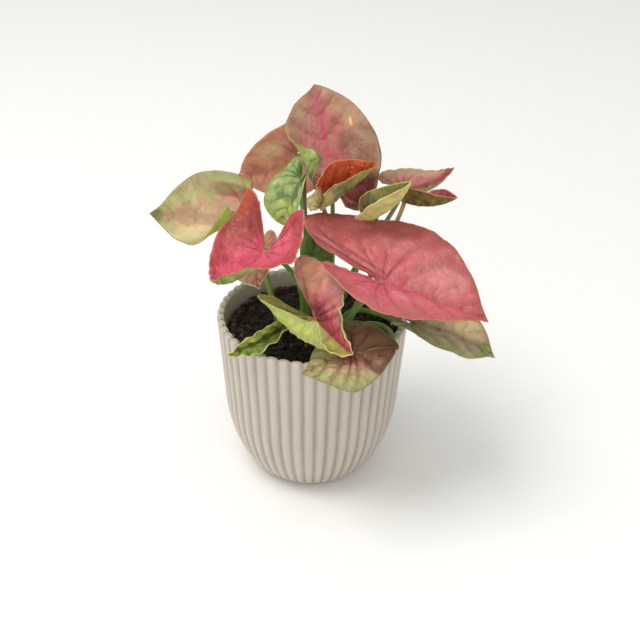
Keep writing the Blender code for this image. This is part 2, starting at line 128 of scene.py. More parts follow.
# Blades. Margin points are numbered from the sinus (0) round the lobe to the tip (8), and side
# veins reach the margin at the places below. Wave counts are per millimetre.
BLADE_STEPS = 12
BLADE_COLUMNS = 26
VEIN_PLACES = (0.25, 1.3, 2.6, 3.5, 4.25, 5.0, 5.75, 6.5, 7.2)
VEIN_BOW = 0.55
VEIN_SLANT = 0.45
TONE_SOFTNESS = 0.28
HINGE = 1.0
BROAD_WAVES = 0.16
CRIMP_WAVES = 0.36
FINE_WAVES = 0.55
WAVY_BAND = 3.5
FULL_RELIEF_LENGTH = 32.0
MIDRIB_HALF_WIDTH = 0.55
MIDRIB_DEPTH = 0.22
KEEL_HEIGHT = 0.5
SEED_STEP = 7.3

# Stage, in metres and degrees.
FLOOR_REACH = 3
LIGHT_TARGET = (0.0, 0.0, 0.08)
KEY_PLACE = (-0.42, -0.22, 1.2)
KEY_SIZE = (0.6, 0.6)
FILL_PLACE = (-0.35, -1.0, 0.3)
FILL_SIZE = (0.9, 0.5)
SKY_COLOUR = (1.0, 0.995, 0.985, 1.0)
CAMERA_PITCH = 32.0
CAMERA_ROLL = 1.0
CAMERA_DISTANCE = 0.4
CAMERA_TARGET = (0.003, 0.0, 0.066)

# half: width from midrib to margin, how far its lobe reaches back and spreads, its fold and curl
# at the base and at the tip, and how far its lobe lifts.
# stalk: its stem, the angle round it, how far it leans out and rises first, and the way it comes in.
# leaf: name, tint, joint with its stalk, heading, pitch, roll, length of the midrib, its halves and
# its stalk, how far it bends, twists and sweeps aside towards the tip, and how full the tip is.
half = namedtuple("half", "width lobe spread fold curl lift", defaults=(0.45, (20, 20), (0, 0), 0))
stalk = namedtuple("stalk", "stem around lean rise tail")
leaf = namedtuple(
    "leaf",
    "name tint joint heading pitch roll length left right stalk bend twist sweep fullness",
    defaults=(0, 0, 0, 0),
)

LEAVES = [
    leaf("crown_top", "tan", (6.5, 18, 117.5), 101, 41, -11, 38,
         half(30, 14, 0.5, (30, 20), (155, 25), 40), half(21.5, 15, 0.5, (15, 5), (40, 5), 5),
         stalk("back", 50, 3, 20, (1, -2, -16)), bend=50, twist=10, sweep=5, fullness=0.7),
    leaf("back_left", "tan", (-7.5, 39, 119), -156, -30, -98, 27.5,
         half(17.5, 14.5, 0.45, (10, 10)), half(19.5, 11, 0.45, (0, 5), (25, 5), -60),
         stalk("back", 100, 11, 12, (3, 7, -32)), bend=-50, twist=5),
    leaf("crown_folded", "orange", (3.5, 2, 114), 29, 24, 20, 26.5,
         half(18.5, 6.5, 0.4, (85, 55), (50, 15), 10), half(13.5, 3, 0.45, (65, 70), (30, 10), 20),
         stalk("back", -70, 0, 18, (7, 5, -18)), bend=25, twist=-5, sweep=-5, fullness=0.25),
    leaf("left_broad", "olive", (-27, 10.5, 109.5), 175, -23, -28, 36.5,
         half(23, 5, 0.75, (0, 0), (145, -10), 25), half(26, 8, 0.3, (-40, 30), (0, 0), -45),
         stalk("left", 160, 4, 13, (4, 0, -15)), bend=40, twist=-10, sweep=-5),
    leaf("crown_small", "pale_green", (-5, 5.8, 124), -148, -50, 0, 19,
         half(11.5, 3.5, 0.45, (20, 10), (30, 5), 15), half(14, 6, 0.45, (0, 20), (-30, -5), 30),
         stalk("back", -180, 1, 27, (1, 0, -21)), bend=-25, twist=-10, sweep=10, fullness=1),
    leaf("right_upper", "tan", (34.5, 24, 113), -14, 10, 0, 22,
         half(12.5, 11, 0.45, (20, 0), (5, -10), 15), half(7, 7, 0.45, (-5, -25), (-10, 0)),
         stalk("right", 90, 4, 18, (-7, -14, -11)), bend=35, sweep=5, fullness=0.2),
    leaf("right_middle", "olive", (34, 9.5, 114), -35, -4, 2, 23.5,
         half(8, 6.5, 0.45, (-20, 60), (-10, 0)), half(9, 7, 0.45, (80, 55), (0, 5)),
         stalk("right", -30, 6, 23, (-5, -7, -13)), bend=45, twist=5, sweep=5, fullness=1),
    leaf("right_inner", "olive", (21, -3.5, 113), -8, 25, 24, 24,
         half(9.5, 3.5, 0.45, (40, 35), (-5, -5)), half(9.5, 5, 0.45, (70, 85), (-10, 0)),
         stalk("back", 10, 7, 8, (8, 31, 0)), bend=60, twist=-5, fullness=0.25),
    leaf("left_cupped", "rose", (-17.5, -16.5, 104.5), -132, -34, -20, 35,
         half(19, 23, 0.45, (20, 40), (50, -25), 55), half(18, 17.5, 0.85, (5, 40), (-30, 50), 65),
         stalk("left", -20, 3, 20, (7, 8, -6)), bend=85, twist=45, sweep=-10, fullness=-0.3),
    leaf("front_large", "pink", (25.5, -23, 97), -14, -12, 21, 40,
         half(29, 35, 0.45, (0, 20), (-15, -10), 20), half(22.5, 23.5, 0.35, (35, 30), (-10, -20), 15),
         stalk("right", -70, 6, 11, (-9, 4, -11)), bend=5, sweep=-10),
    leaf("right_low", "tan", (38, -15.5, 75.5), -9, -3, 16, 35.5,
         half(16, 8, 0.45, (10, 30)), half(16.5, 8, 0.45, (35, 0), (20, 5)),
         stalk("right", 50, 3, 17, (-7, 1, -1)), bend=-40, twist=10, sweep=-5),
    leaf("front_rolled", "pink", (1, -27, 83.5), -39, -35, 31, 25.5,
         half(18, 21, 0.55, (15, 90), (0, 0), -5), half(23.5, 19, 0.65, (-60, 20), (225, 170), 25),
         stalk("left", -60, 11, 6, (-3, 8, -11)), bend=65, twist=-10, fullness=1),
    leaf("over_rim", "tan", (14.5, -40.5, 78), -173, -15, 5, 20,
         half(17, 15.5, 0.15, (-15, -10), (-30, -25), -15), half(16, 17, 0.15, (20, 10), (10, 10), -30),
         stalk("right", 10, 17, 12, (25, 3, -2)), bend=-20, twist=10, fullness=0.05),
    leaf("left_low_folded", "green", (-11, -18, 73), -134, -1, -49, 26.5,
         half(8, 3, 0.45, (90, 30), (30, -5)), half(7, 4, 0.45, (65, 55), (5, -5)),
         stalk("left", -100, 6, 4, (1, 6, -3)), bend=-5, twist=-5, sweep=-5, fullness=0.4),
    leaf("left_hidden", "tan", (-20.5, 0, 97), -95, -17, 31, 18.5,
         half(9, 8, 0.45, (10, -5), (0, -10)), half(14.5, 8, 0.45, (10, 0), (0, -5)),
         stalk("left", -160, 3, 16, (2, 1, -12)), bend=-20, sweep=5),
    leaf("heart_young", "green", (-1, -4, 93), 72, 48, 38, 17,
         half(9.5, 5, 0.45, (50, 15), (15, -5)), half(8.5, 5, 0.45, (35, 35)),
         stalk("back", -110, 3, 11, (1, 3, -12)), bend=5, twist=-5),
]


def srgb(red, green, blue):
    """Linear colour for values as they look on a screen, from 0 to 255."""
    channels = (red / 255, green / 255, blue / 255)
    return tuple(c / 12.92 if c <= 0.04045 else ((c + 0.055) / 1.055) ** 2.4 for c in channels)


# Leaf paints, by their everyday names.
PAINTS = {
    "hot_pink": srgb(218, 98, 118),
    "pink": srgb(198, 100, 104),
    "deep_pink": srgb(188, 76, 84),
    "old_rose": srgb(184, 96, 94),
    "rosy": srgb(210, 136, 134),
    "dusty_pink": srgb(190, 118, 112),
    "brick": srgb(158, 68, 60),
    "dark_red": srgb(104, 34, 36),
    "salmon": srgb(202, 134, 110),
    "tan": srgb(184, 146, 116),
    "ash": srgb(176, 160, 128),
    "rust": srgb(204, 88, 50),
    "olive": srgb(124, 124, 60),
    "khaki": srgb(172, 172, 112),
    "brown": srgb(112, 72, 52),
    "leaf_green": srgb(110, 138, 62),
    "deep_green": srgb(64, 90, 38),
    "pale_green": srgb(178, 196, 124),
    "lime": srgb(188, 198, 98),
    "butter": srgb(218, 212, 136),
    "cream": srgb(230, 206, 160),
    "peach": srgb(230, 164, 132),
    # near-white yellow, used only as painted light on a shaded lobe
    "primrose": srgb(255, 250, 176),
    "moss": srgb(134, 152, 70),
}

# look: tones of the left and right halves (paint at the midrib, paint at the margin, how far across
# they change), paints of the underside and its clouds, clouds, veins (paint and strength), margin,
# how strongly the vein paint fills the valleys between swellings as painted shade, how much the
# brightness varies at random and with the painted light and shade of swellings and creases, how
# far the margin is crimped in millimetres, specks, and patches on each side. A patch has its place
# (ahead of the joint, left of the midrib), half sizes, paint, strength and turn.
look = namedtuple(
    "look",
    "left right back cloud vein margin valley mottle crimp specks patches back_patches",
    defaults=(0, 1, 0, None, (), ()),
)

LOOKS = {
    "crown_top": look(("rosy", "tan", 0.6), ("dusty_pink", "tan", 0.45), ("pale_green", "moss"),
        ("salmon", 0.4), ("pink", 0.2), "brown", mottle=0.35, patches=[(5, -4, 12, 4, "pink", 0.6),
        # painted shade: the dark_red patch at (-6, -10) darkens the right lobe's lower end where it curls
        # away
        (12, -9, 8, 5, "brown", 0.55), (22, -6, 6, 3, "brick", 0.3), (-6, -10, 9, 9, "dark_red", 0.95),
        # painted reflection: the rosy patch at (17, 8) is a pale pink sheen on the left half
        (17, 8, 10, 6, "rosy", 0.7), (27, 9, 7, 4, "ash", 0.4), (8, -17, 15, 6, "brown", 0.6),
        (22, -11, 2, 0.6, "butter", 0.8), (12, 0, 22, 1, "hot_pink", 0.75)]),
    "back_left": look(("peach", "peach", 0.55), ("peach", "peach", 0.6), ("pale_green", "moss"),
        ("rosy", 0.5), ("dusty_pink", 0.3), "dusty_pink", mottle=0.6, patches=[(8, -10, 7, 5, "cream", 0.6),
        (17, -3, 6, 4, "brick", 0.3), (0, -4, 5, 4, "brick", 0.35)]),
    "crown_folded": look(("rust", "rust", 0.6), ("olive", "khaki", 0.6), ("khaki", "olive"),
        ("brick", 0.25), ("brick", 0.1), "salmon", specks=("cream", 0.8), mottle=0.6, crimp=0.6,
        # partly the lobe's own yellow, partly painted light: the near-white primrose patch brightens the
        # lower-left lobe although it faces down into shade
        patches=[(-4, 7, 6, 10, "primrose", 1)], back_patches=[(-3, -6, 9, 9, "butter", 1),
        (20, -4, 9, 6, "lime", 0.6)]),
    "left_broad": look(("tan", "khaki", 0.4), ("tan", "khaki", 0.35), ("lime", "lime"), ("salmon", 0.4),
        ("khaki", 0.3), "olive", valley=0.1, mottle=0.5, patches=[(2, -8, 9, 6, "dusty_pink", 0.6),
        (3, 6, 7, 5, "brick", 0.5), (6, -13, 9, 5, "brown", 0.6), (2, -10, 5, 4, "brick", 0.6),
        (20, -16, 9, 5, "ash", 0.4), (20, 9, 9, 5, "cream", 0.5), (16, -3, 9, 5, "tan", 0.5),
        (36, 0, 5, 6, "deep_green", 0.7)]),
    "crown_small": look(("pale_green", "pale_green", 0.3), ("pale_green", "pale_green", 0.3),
        ("pale_green", "leaf_green"), ("leaf_green", 0.5), ("deep_green", 0.4), "lime", valley=0.2,
        mottle=1.15, patches=[(17, 3, 8, 12, "lime", 0.8), (-3, 1, 4, 7, "deep_green", 0.85),
        (4, 3, 6, 3, "deep_green", 0.7), (8, -5, 3, 2, "deep_green", 0.5)]),
    "right_upper": look(("dusty_pink", "tan", 0.5), ("brick", "brick", 0.5), ("olive", "moss"),
        ("brown", 0.2), ("brick", 0.2), "khaki", valley=0.05, mottle=0.7, crimp=0.6,
        patches=[(12, -3, 12, 3, "brown", 0.5), (10, -5.5, 12, 2.4, "olive", 0.9),
        (20, 0, 5, 5, "brick", 0.9)]),
    "right_middle": look(("old_rose", "brick", 0.6), ("olive", "brown", 0.5), ("olive", "brown"),
        ("salmon", 0.3), ("brick", 0.35), "salmon", valley=0.1, patches=[(20, 4, 6, 8, "brick", 0.7)]),
    "right_inner": look(("olive", "olive", 0.6), ("olive", "olive", 0.6), ("butter", "pale_green"),
        # painted shade: the deep_green and brown patches darken the inside of the cupped lobe
        ("moss", 0.3), ("olive", 0.2), "butter", mottle=0.35, patches=[(0, 5, 5, 8, "deep_green", 0.6),
        (-1, 9, 4, 6, "brown", 0.7)], back_patches=[(17, -4, 4, 2, "ash", 0.5)]),
    "left_cupped": look(("hot_pink", "deep_pink", 0.5), ("hot_pink", "deep_pink", 0.45), ("moss", "khaki"),
        ("pink", 0.3), ("rosy", 0.3), "salmon", mottle=0.65, crimp=0.7,
        patches=[(-9, -14, 15, 11, "brick", 1), (-14, -15, 8, 8, "rust", 0.4),
        (-15, -9, 8, 4, "dark_red", 0.4, -20), (4, -10, 8, 4, "pink", 0.6),
        (3, -6, 4, 1.2, "rosy", 0.5, -60), (14, -4, 20, 4, "hot_pink", 0.8), (-17, 9, 5, 6, "brick", 0.4),
        (-6, 7, 8, 5, "hot_pink", 0.7)]),
    "front_large": look(("pink", "old_rose", 0.6), ("hot_pink", "pink", 0.6), ("leaf_green", "moss"),
        ("dusty_pink", 0.5), ("old_rose", 0.35), "salmon", valley=0.15, mottle=0.7, crimp=0.6,
        patches=[(6, -2, 12, 4, "hot_pink", 0.5), (18, 8, 12, 9, "dusty_pink", 0.6),
        (-24, 14, 10, 7, "brick", 0.5), (-8, 24, 16, 5, "brick", 0.35),
        (15, 25, 15, 4.5, "brick", 0.35, -8), (33, 13, 15, 4, "brick", 0.4, -42),
        # painted highlight: the rosy patch at (21, 9) is a sheen in the middle of the left half
        # painted shade and highlight: the three long lines at x -15 along the sinus, dark_red, rosy and
        # brick, shade and light its folds
        (21, 9, 8, 5, "rosy", 0.5), (-15, 3.8, 15, 0.7, "dark_red", 0.6, -9),
        (-15, 5.2, 15, 0.8, "rosy", 0.6, -10), (-15, 6.8, 15, 0.8, "brick", 0.8, -12),
        (2, 16, 8, 4, "rosy", 0.35), (20, -9, 14, 6, "pink", 0.5), (10, -8, 7, 3, "rosy", 0.6),
        (38, 0, 8, 16, "brick", 0.4)]),
    "right_low": look(("ash", "tan", 0.6), ("ash", "khaki", 0.75), ("pale_green", "moss"),
        ("dusty_pink", 0.35), ("brown", 0.1), "olive", mottle=0.8, patches=[(32, -2, 5, 8, "moss", 0.6),
        (14, 4, 14, 5, "cream", 0.7)]),
    "front_rolled": look(("hot_pink", "rosy", 0.55), ("lime", "lime", 0.7), ("lime", "khaki"),
        # painted shadow: the dark_red patch at (0, 4) beside the joint
        ("peach", 0.5), ("rosy", 0.4), "butter", crimp=1.2, patches=[(0, 4, 6, 3, "dark_red", 0.4),
        (14, 4, 12, 4, "hot_pink", 0.7), (-12, 10, 8, 7, "peach", 0.7), (0, 13, 6, 4, "rosy", 0.6)]),
    "over_rim": look(("tan", "khaki", 0.6), ("tan", "khaki", 0.5), ("pale_green", "moss"), ("tan", 0.4),
        ("brown", 0.4), "olive", valley=0.2, crimp=0.8, patches=[(-7, -1, 13, 13, "dusty_pink", 0.7),
        # partly the leaf's brown centre, partly painted shade: the brown patches darken the cupped lobes
        # behind the joint
        (-8, -2, 11, 11, "brown", 0.7), (-10, 5, 8, 8, "brown", 0.9), (14, -4, 8, 9, "khaki", 0.7)]),
    "left_low_folded": look(("khaki", "moss", 0.5), ("moss", "lime", 0.5), ("pale_green", "khaki"),
        ("lime", 0.4), ("leaf_green", 0.35), "butter", valley=0.3, crimp=1.4),
    "left_hidden": look(("peach", "salmon", 0.6), ("salmon", "tan", 0.6), ("khaki", "moss"),
        ("cream", 0.35), ("brown", 0.2), "cream", valley=0.1),
    "heart_young": look(("leaf_green", "moss", 0.6), ("leaf_green", "moss", 0.6),
        ("pale_green", "leaf_green"), ("deep_green", 0.4), ("pale_green", 0.35), "moss", valley=0.1),
}


def colour_property(name, description, default):
    """A colour setting."""
    return FloatVectorProperty(
        name=name, description=description, default=default, subtype="COLOR", size=3, min=0.0, max=1.0
    )


def length_property(name, description, default, top):
    """A length setting, in metres."""
    return FloatProperty(
        name=name, description=description, default=default, min=0.0, max=top, precision=5,
        subtype="DISTANCE", unit="LENGTH",
    )


def share_property(name, description, default, top=1.0):
    """A plain number setting from 0 up."""
    return FloatProperty(
        name=name, description=description, default=default, min=0.0, max=top, subtype="FACTOR"
    )


def count_property(name, description, default, top):
    """A whole number setting from 0 up."""
    return IntProperty(name=name, description=description, default=default, min=0, max=top)


class SyngoniumPlanterSettings(bpy.types.PropertyGroup):
    """Looks of the ribbed planter and the nursery pot in it."""

    glaze: colour_property("Glaze", "Colour of the planter's satin glaze", srgb(192, 182, 169))
    glaze_roughness: share_property("Glaze roughness", "0 is a mirror, 1 is chalk", 0.32)
    rib_depth: length_property("Rib depth", "How deep the grooves between the ribs are", 0.0009, 0.002)
    grow_pot: colour_property("Nursery pot", "Colour of the thin pot inside", srgb(82, 38, 34))


class SyngoniumSoilSettings(bpy.types.PropertyGroup):
    """Looks of the potting mix."""

    soil: colour_property("Soil", "Colour of the moist soil", srgb(26, 20, 16))
    perlite: colour_property("Perlite", "Colour of the white grains", srgb(190, 176, 152))
    crumb_count: count_property("Crumbs", "Loose crumbs of soil", 1300, 2000)
    perlite_count: count_property("Grains", "White grains", 26, 200)
    seed: count_property("Seed", "Changes where crumbs and grains lie", 4, 1000)


class SyngoniumLeafSettings(bpy.types.PropertyGroup):
    """Shape and looks that all blades and stalks share."""

    thickness: length_property("Thickness", "Thickness of a blade", 0.00045, 0.001)
    vein_depth: length_property("Vein depth", "How deep the side veins are sunk", 0.00038, 0.001)
    pucker: length_property("Pucker", "Most that the blade swells between two veins", 0.0011, 0.002)
    ripple: length_property("Ripple", "How far the margin waves up and down", 0.00045, 0.002)
    gloss_roughness: share_property("Roughness", "0 is a mirror, 1 is chalk", 0.36)
    stalk: colour_property("Stalk", "Colour of the leaf stalks", srgb(122, 148, 72))
    stalk_flush: colour_property("Stalk flush", "Colour of the stalks near a pink blade", srgb(158, 96, 76))
    stem: colour_property("Stem", "Colour of the short stems", srgb(122, 134, 76))


class SyngoniumStageSettings(bpy.types.PropertyGroup):
    """Floor, light and camera."""

    floor: colour_property("Floor", "Colour of the floor", srgb(247, 246, 243))
    key_power: share_property("Key light", "Power of the main softbox, in watts", 8.2, 100.0)
    fill_power: share_property("Fill light", "Power of the fill softbox, in watts", 2.0, 100.0)
    sky: share_property("Sky", "Brightness of the even light from all round", 0.7, 3.0)
    lens: FloatProperty(
        name="Lens", description="Focal length", default=57.0, min=10.0,
        subtype="DISTANCE_CAMERA", unit="CAMERA",
    )


class Link:
    """An output socket in a sum: each expression on it adds its Math nodes."""

    def __init__(self, finish, socket):
        self.finish = finish
        self.socket = socket

    def __add__(self, other):
        return self.finish.math("ADD", self, other)

    def __radd__(self, other):
        return self.finish.math("ADD", other, self)

    def __sub__(self, other):
        return self.finish.math("SUBTRACT", self, other)

    def __rsub__(self, other):
        return self.finish.math("SUBTRACT", other, self)

    def __mul__(self, other):
        return self.finish.math("MULTIPLY", self, other)

    def __rmul__(self, other):
        return self.finish.math("MULTIPLY", other, self)

    def __truediv__(self, other):
        return self.finish.math("DIVIDE", self, other)

    def __pow__(self, other):
        return self.finish.math("POWER", self, other)


class Finish:
    """A material whose nodes are written as expressions."""

    def __init__(self, name):
        self.material = bpy.data.materials.new(name)
        self.material.use_nodes = True
        self.tree = self.material.node_tree
        self.shader = self.tree.nodes["Principled BSDF"]

    def node(self, kind, settings, inputs, output=0):
        """Add a node: its settings come first, then the values or links of its sockets."""
        node = self.tree.nodes.new("ShaderNode" + kind)
        for key, value in settings.items():
            setattr(node, key, value)
        for key, value in inputs.items():
            self.plug(node.inputs[key], value)
        return Link(self, node.outputs[output])

    def plug(self, socket, value):
        """Link a socket, or set its value."""
        if isinstance(value, Link):
            self.tree.links.new(value.socket, socket)
        else:
            socket.default_value = value

    def set(self, socket, value):
        """Feed one of the shader's own sockets."""
        self.plug(self.shader.inputs[socket], value)

    def math(self, operation, *values):
        """A Math node on values or links."""
        return self.node("Math", {"operation": operation}, dict(enumerate(values)))

    def attribute(self, name, output="Fac"):
        """A value that the mesh stores at its points."""
        return self.node("Attribute", {"attribute_name": name}, {}, output)

    def ramp(self, value, start, end):
        """0 below start, 1 above end, and smooth between them."""
        settings = {"interpolation_type": "SMOOTHSTEP"}
        return self.node("MapRange", settings, {"Value": value, "From Min": start, "From Max": end})

    def blend(self, share, low, high):
        """Mix two colours, each a link or a linear colour."""
        low, high = (c if isinstance(c, Link) else (*c, 1.0) for c in (low, high))
        settings = {"data_type": "RGBA", "clamp_factor": True}
        return self.node("Mix", settings, {0: share, 6: low, 7: high}, 2)

    def shade(self, colour, factor):
        """Darken or lighten a colour by a factor."""
        grey = self.node("CombineXYZ", {}, {0: factor, 1: factor, 2: factor})
        settings = {"data_type": "RGBA", "blend_type": "MULTIPLY"}
        return self.node("Mix", settings, {0: 1.0, 6: colour, 7: grey}, 2)

    def noise(self, place, scale, detail=3.0, roughness=0.55):
        """Cloudy noise from 0 to 1."""
        inputs = {"Vector": place, "Scale": scale, "Detail": detail, "Roughness": roughness}
        return self.node("TexNoise", {}, inputs)

    def cells(self, place, scale, feature="DISTANCE_TO_EDGE"):
        """Distance from the edges of irregular cells, or from their centres."""
        return self.node("TexVoronoi", {"feature": feature}, {"Vector": place, "Scale": scale}, "Distance")

    def place(self):
        """Position on the object, in metres."""
        return self.node("TexCoord", {}, {}, "Object")

    def axes(self, vector):
        """The three parts of a vector."""
        split = self.node("SeparateXYZ", {}, {0: vector}).socket.node
        return [Link(self, output) for output in split.outputs]

    def coat(self, colour, roughness, height, distance):
        """Feed the colour, the roughness and a fine relief, with its full height in metres."""
        self.set("Base Color", colour)
        self.set("Roughness", roughness)
        inputs = {"Height": height, "Distance": distance, "Strength": 1.0}
        self.set("Normal", self.node("Bump", {}, inputs))
        return self


def smooth_curve(points, steps):
    """Catmull-Rom curve through the points, with the given steps in each span."""
    points = np.array(points, dtype=float)
    padded = np.vstack([2 * points[0] - points[1], points, 2 * points[-1] - points[-2]])
    t = (np.arange(steps) / steps)[:, None]
    curve = []
    for p0, p1, p2, p3 in zip(padded, padded[1:], padded[2:], padded[3:]):
        square = 2 * p0 - 5 * p1 + 4 * p2 - p3
        cube = 3 * p1 - p0 - 3 * p2 + p3
        curve.append((2 * p1 + (p2 - p0) * t + square * t**2 + cube * t**3) / 2)
    return np.vstack([*curve, points[-1:]])


def half_margin(blade, side):
    """Margin of one half of a flat blade, from its sinus round the lobe to the tip."""
    length, width, lobe, full = blade.length, side.width, side.lobe, blade.fullness
    points = [
        (-0.80 * lobe, max(0.05, side.spread - 0.32) * width),
        (-lobe, (side.spread - 0.10) * width),
        (-0.93 * lobe, (side.spread + 0.14) * width),
        (-0.50 * lobe, (0.62 + 0.38 * min(1.0, side.spread + 0.3)) * 0.95 * width),
        (0.10 * length, width),
        (0.42 * length, (0.83 + 0.12 * full) * width),
        (0.72 * length, (0.46 + 0.26 * full) * width),
        (0.90 * length, (0.14 + 0.22 * full) * width),
        (length, 0.0),
    ]
    return smooth_curve(points, BLADE_STEPS)


def midrib_starts(margin, length):
    """Where on the midrib the side vein to each margin point starts."""
    reach = np.maximum.accumulate(np.clip(margin[:, 0] - VEIN_SLANT * margin[:, 1], 0.0, None))
    reach[-1] = length
    return reach


def arc(distance, start, rate):
    """Steps along and up after a distance on an arc that starts at an angle and turns at a rate."""
    rate = np.where(np.abs(rate) < 1e-6, 1e-6, rate)
    end = start + rate * distance
    return (np.sin(end) - np.sin(start)) / rate, (np.cos(start) - np.cos(end)) / rate


def folded_arc(distance, fold, curl):
    """An arc that leaves the midrib level, turns up by the fold in the hinge, then curls."""
    across, up = arc(np.minimum(distance, HINGE), 0.0, fold / HINGE)
    further, higher = arc(np.maximum(distance - HINGE, 0.0), fold, curl)
    return across + further, up + higher


def mix(pair, share):
    """Blend the two values of a pair."""
    return pair[0] * (1.0 - share) + pair[1] * share


def curved_points(blade, direction, x, y):
    """Place points of the flat blade on its folded, curled and bent surface, in millimetres."""
    side = blade.left if direction > 0 else blade.right
    share = np.clip((x + side.lobe) / (blade.length + side.lobe), 0.0, 1.0)
    fold = np.radians(mix(side.fold, share))
    curl = np.radians(mix(side.curl, share)) / side.width
    across, up = folded_arc(y, fold, curl)
    past_joint = np.clip(x / blade.length, 0.0, 1.0)
    rate = np.where(x >= 0.0, math.radians(blade.bend) / blade.length, math.radians(side.lift) / side.lobe)
    forward, rise = arc(np.abs(x), 0.0, rate)
    slope = rate * np.abs(x)
    twist = math.radians(blade.twist) * past_joint
    aside = direction * across * np.cos(twist) - up * np.sin(twist)
    above = direction * across * np.sin(twist) + up * np.cos(twist)
    ahead = np.where(x >= 0.0, 1.0, -1.0) * (forward - above * np.sin(slope))
    sweep = math.radians(blade.sweep) * past_joint
    return np.stack(
        [
            ahead * np.cos(sweep / 2) - aside * np.sin(sweep),
            ahead * np.sin(sweep / 2) + aside * np.cos(sweep),
            rise + above * np.cos(slope),
        ],
        axis=-1,
    )


def surface_normals(blade, direction, x, y):
    """Unit normals on the upper side of the curved blade."""
    step = 0.05
    ahead = curved_points(blade, direction, x + step, y) - curved_points(blade, direction, x - step, y)
    aside = curved_points(blade, direction, x, y + step) - curved_points(blade, direction, x, y)
    normals = np.cross(ahead, aside * direction)
    return normals / np.linalg.norm(normals, axis=-1, keepdims=True)


def distance_to_margin(flat, outline):
    """Distance from each flat point to the outline."""
    start, run = outline[:-1], np.diff(outline, axis=0)
    offset = flat[:, None, :] - start[None]
    along = np.clip((offset * run).sum(-1) / np.maximum((run * run).sum(-1), 1e-9), 0.0, 1.0)
    return np.linalg.norm(offset - along[..., None] * run, axis=-1).min(axis=1)


def half_blade(blade, direction, starts):
    """Flat points, curved points, normals and relief of one half, in rows and columns."""
    side = blade.left if direction > 0 else blade.right
    margin = half_margin(blade, side)
    own = midrib_starts(margin, blade.length)
    share = np.linspace(0.0, 1.0, BLADE_COLUMNS + 1)[None] ** 1.2
    start = starts[:, None] + (own - starts)[:, None] * np.minimum(1.0, 4.0 * share)
    x = start + share * (margin[:, :1] - start)
    y = share * margin[:, 1:]
    rows = np.linspace(0.0, 8.0, len(margin))[:, None]
    spread = np.hypot(np.gradient(x, axis=0), np.gradient(y, axis=0)) * BLADE_STEPS
    place = rows - VEIN_BOW * share**2 * np.clip(rows / 3.0, 0.0, 1.0)
    veins = np.array(VEIN_PLACES)
    nearest = np.abs(place[..., None] - veins).min(axis=-1)
    vein = np.exp(-((nearest * spread / (0.42 - 0.2 * share)) ** 2)) * (1.0 - share**3)
    below = np.clip(np.searchsorted(veins, place) - 1, 0, len(veins) - 2)
    gap = veins[below + 1] - veins[below]
    between = np.clip((place - veins[below]) / gap, 0.0, 1.0)
    swell = np.sin(np.pi * between) ** 0.8 * np.clip(gap * spread / 9.0, 0.0, 1.0)
    swell = swell * np.clip(share * 3.0, 0.0, 1.0) * (1.0 - share**4)
    flat = np.stack([x, direction * y], axis=-1)
    outline = np.vstack([[(0.0, 0.0)], margin]) * (1.0, direction)
    rim = distance_to_margin(flat.reshape(-1, 2), outline).reshape(x.shape)
    return {
        "flat": flat,
        "curved": curved_points(blade, direction, x, y),
        "normal": surface_normals(blade, direction, x, y),
        "vein": vein,
        "swell": swell,
        "rim": rim,
        "share": share + 0.0 * x,
        "midrib": y,
    }


def joined_halves(blade):
    """Columns from the left margin over the midrib to the right margin."""
    starts = (
        midrib_starts(half_margin(blade, blade.left), blade.length)
        + midrib_starts(half_margin(blade, blade.right), blade.length)
    ) / 2
    left, right = half_blade(blade, 1, starts), half_blade(blade, -1, starts)
    joined = {key: np.concatenate([left[key][:, ::-1], right[key][:, 1:]], axis=1) for key in left}
    middle = left["normal"][:, 0] + right["normal"][:, 0]
    joined["normal"][:, BLADE_COLUMNS] = middle / np.linalg.norm(middle, axis=-1, keepdims=True)
    return joined


def ripple(points, seed):
    """Smooth unevenness of the blade at points in millimetres, about -1 to 1."""
    return np.array([noise.noise(Vector(point) + Vector((seed, 0.0, 0.0))) for point in points])


def with_zero(flat):
    """Flat points as points in space."""
    return np.pad(flat.reshape(-1, 2), ((0, 0), (0, 1)))


def blade_sides(blade, seed, settings):
    """Points of the upper side and the underside, in millimetres, with their masks."""
    made = joined_halves(blade)
    shape = made["rim"].shape
    flat = with_zero(made["flat"])
    broad = ripple(flat * BROAD_WAVES, seed).reshape(shape)
    small = ripple(flat * FINE_WAVES, seed + 40.0).reshape(shape)
    crimp = ripple(flat * CRIMP_WAVES, seed + 80.0).reshape(shape) * LOOKS[blade.name].crimp
    edge = np.exp(-made["rim"] / WAVY_BAND)
    size = min(1.0, blade.length / FULL_RELIEF_LENGTH)
    groove = np.exp(-((made["midrib"] / MIDRIB_HALF_WIDTH) ** 2))
    fade = 1.0 - 0.75 * np.clip(made["flat"][..., 0] / blade.length, 0.0, 1.0)
    lift = settings.pucker / MM * size * made["swell"] * (0.75 + 0.5 * broad)
    lift = lift + settings.ripple / MM * size * (2.4 * broad * edge + 0.35 * small) + crimp * edge
    lift = lift - settings.vein_depth / MM * made["vein"] - MIDRIB_DEPTH * groove * fade
    keel = KEEL_HEIGHT * groove * fade - 0.2 * made["vein"]
    thick = settings.thickness / MM / 2 * np.clip(0.45 + made["rim"] / 0.8, 0.0, 1.0)
    upper = made["curved"] + made["normal"] * (lift + thick)[..., None]
    lower = made["curved"] + made["normal"] * (lift - thick - keel)[..., None]
    return made, upper, lower


def new_mesh(name, points, faces):
    """Mesh of points in millimetres, with faces as arrays of indices."""
    mesh = bpy.data.meshes.new(name)
    mesh.from_pydata((points.reshape(-1, 3) * MM).tolist(), [], np.vstack(faces).tolist())
    return mesh


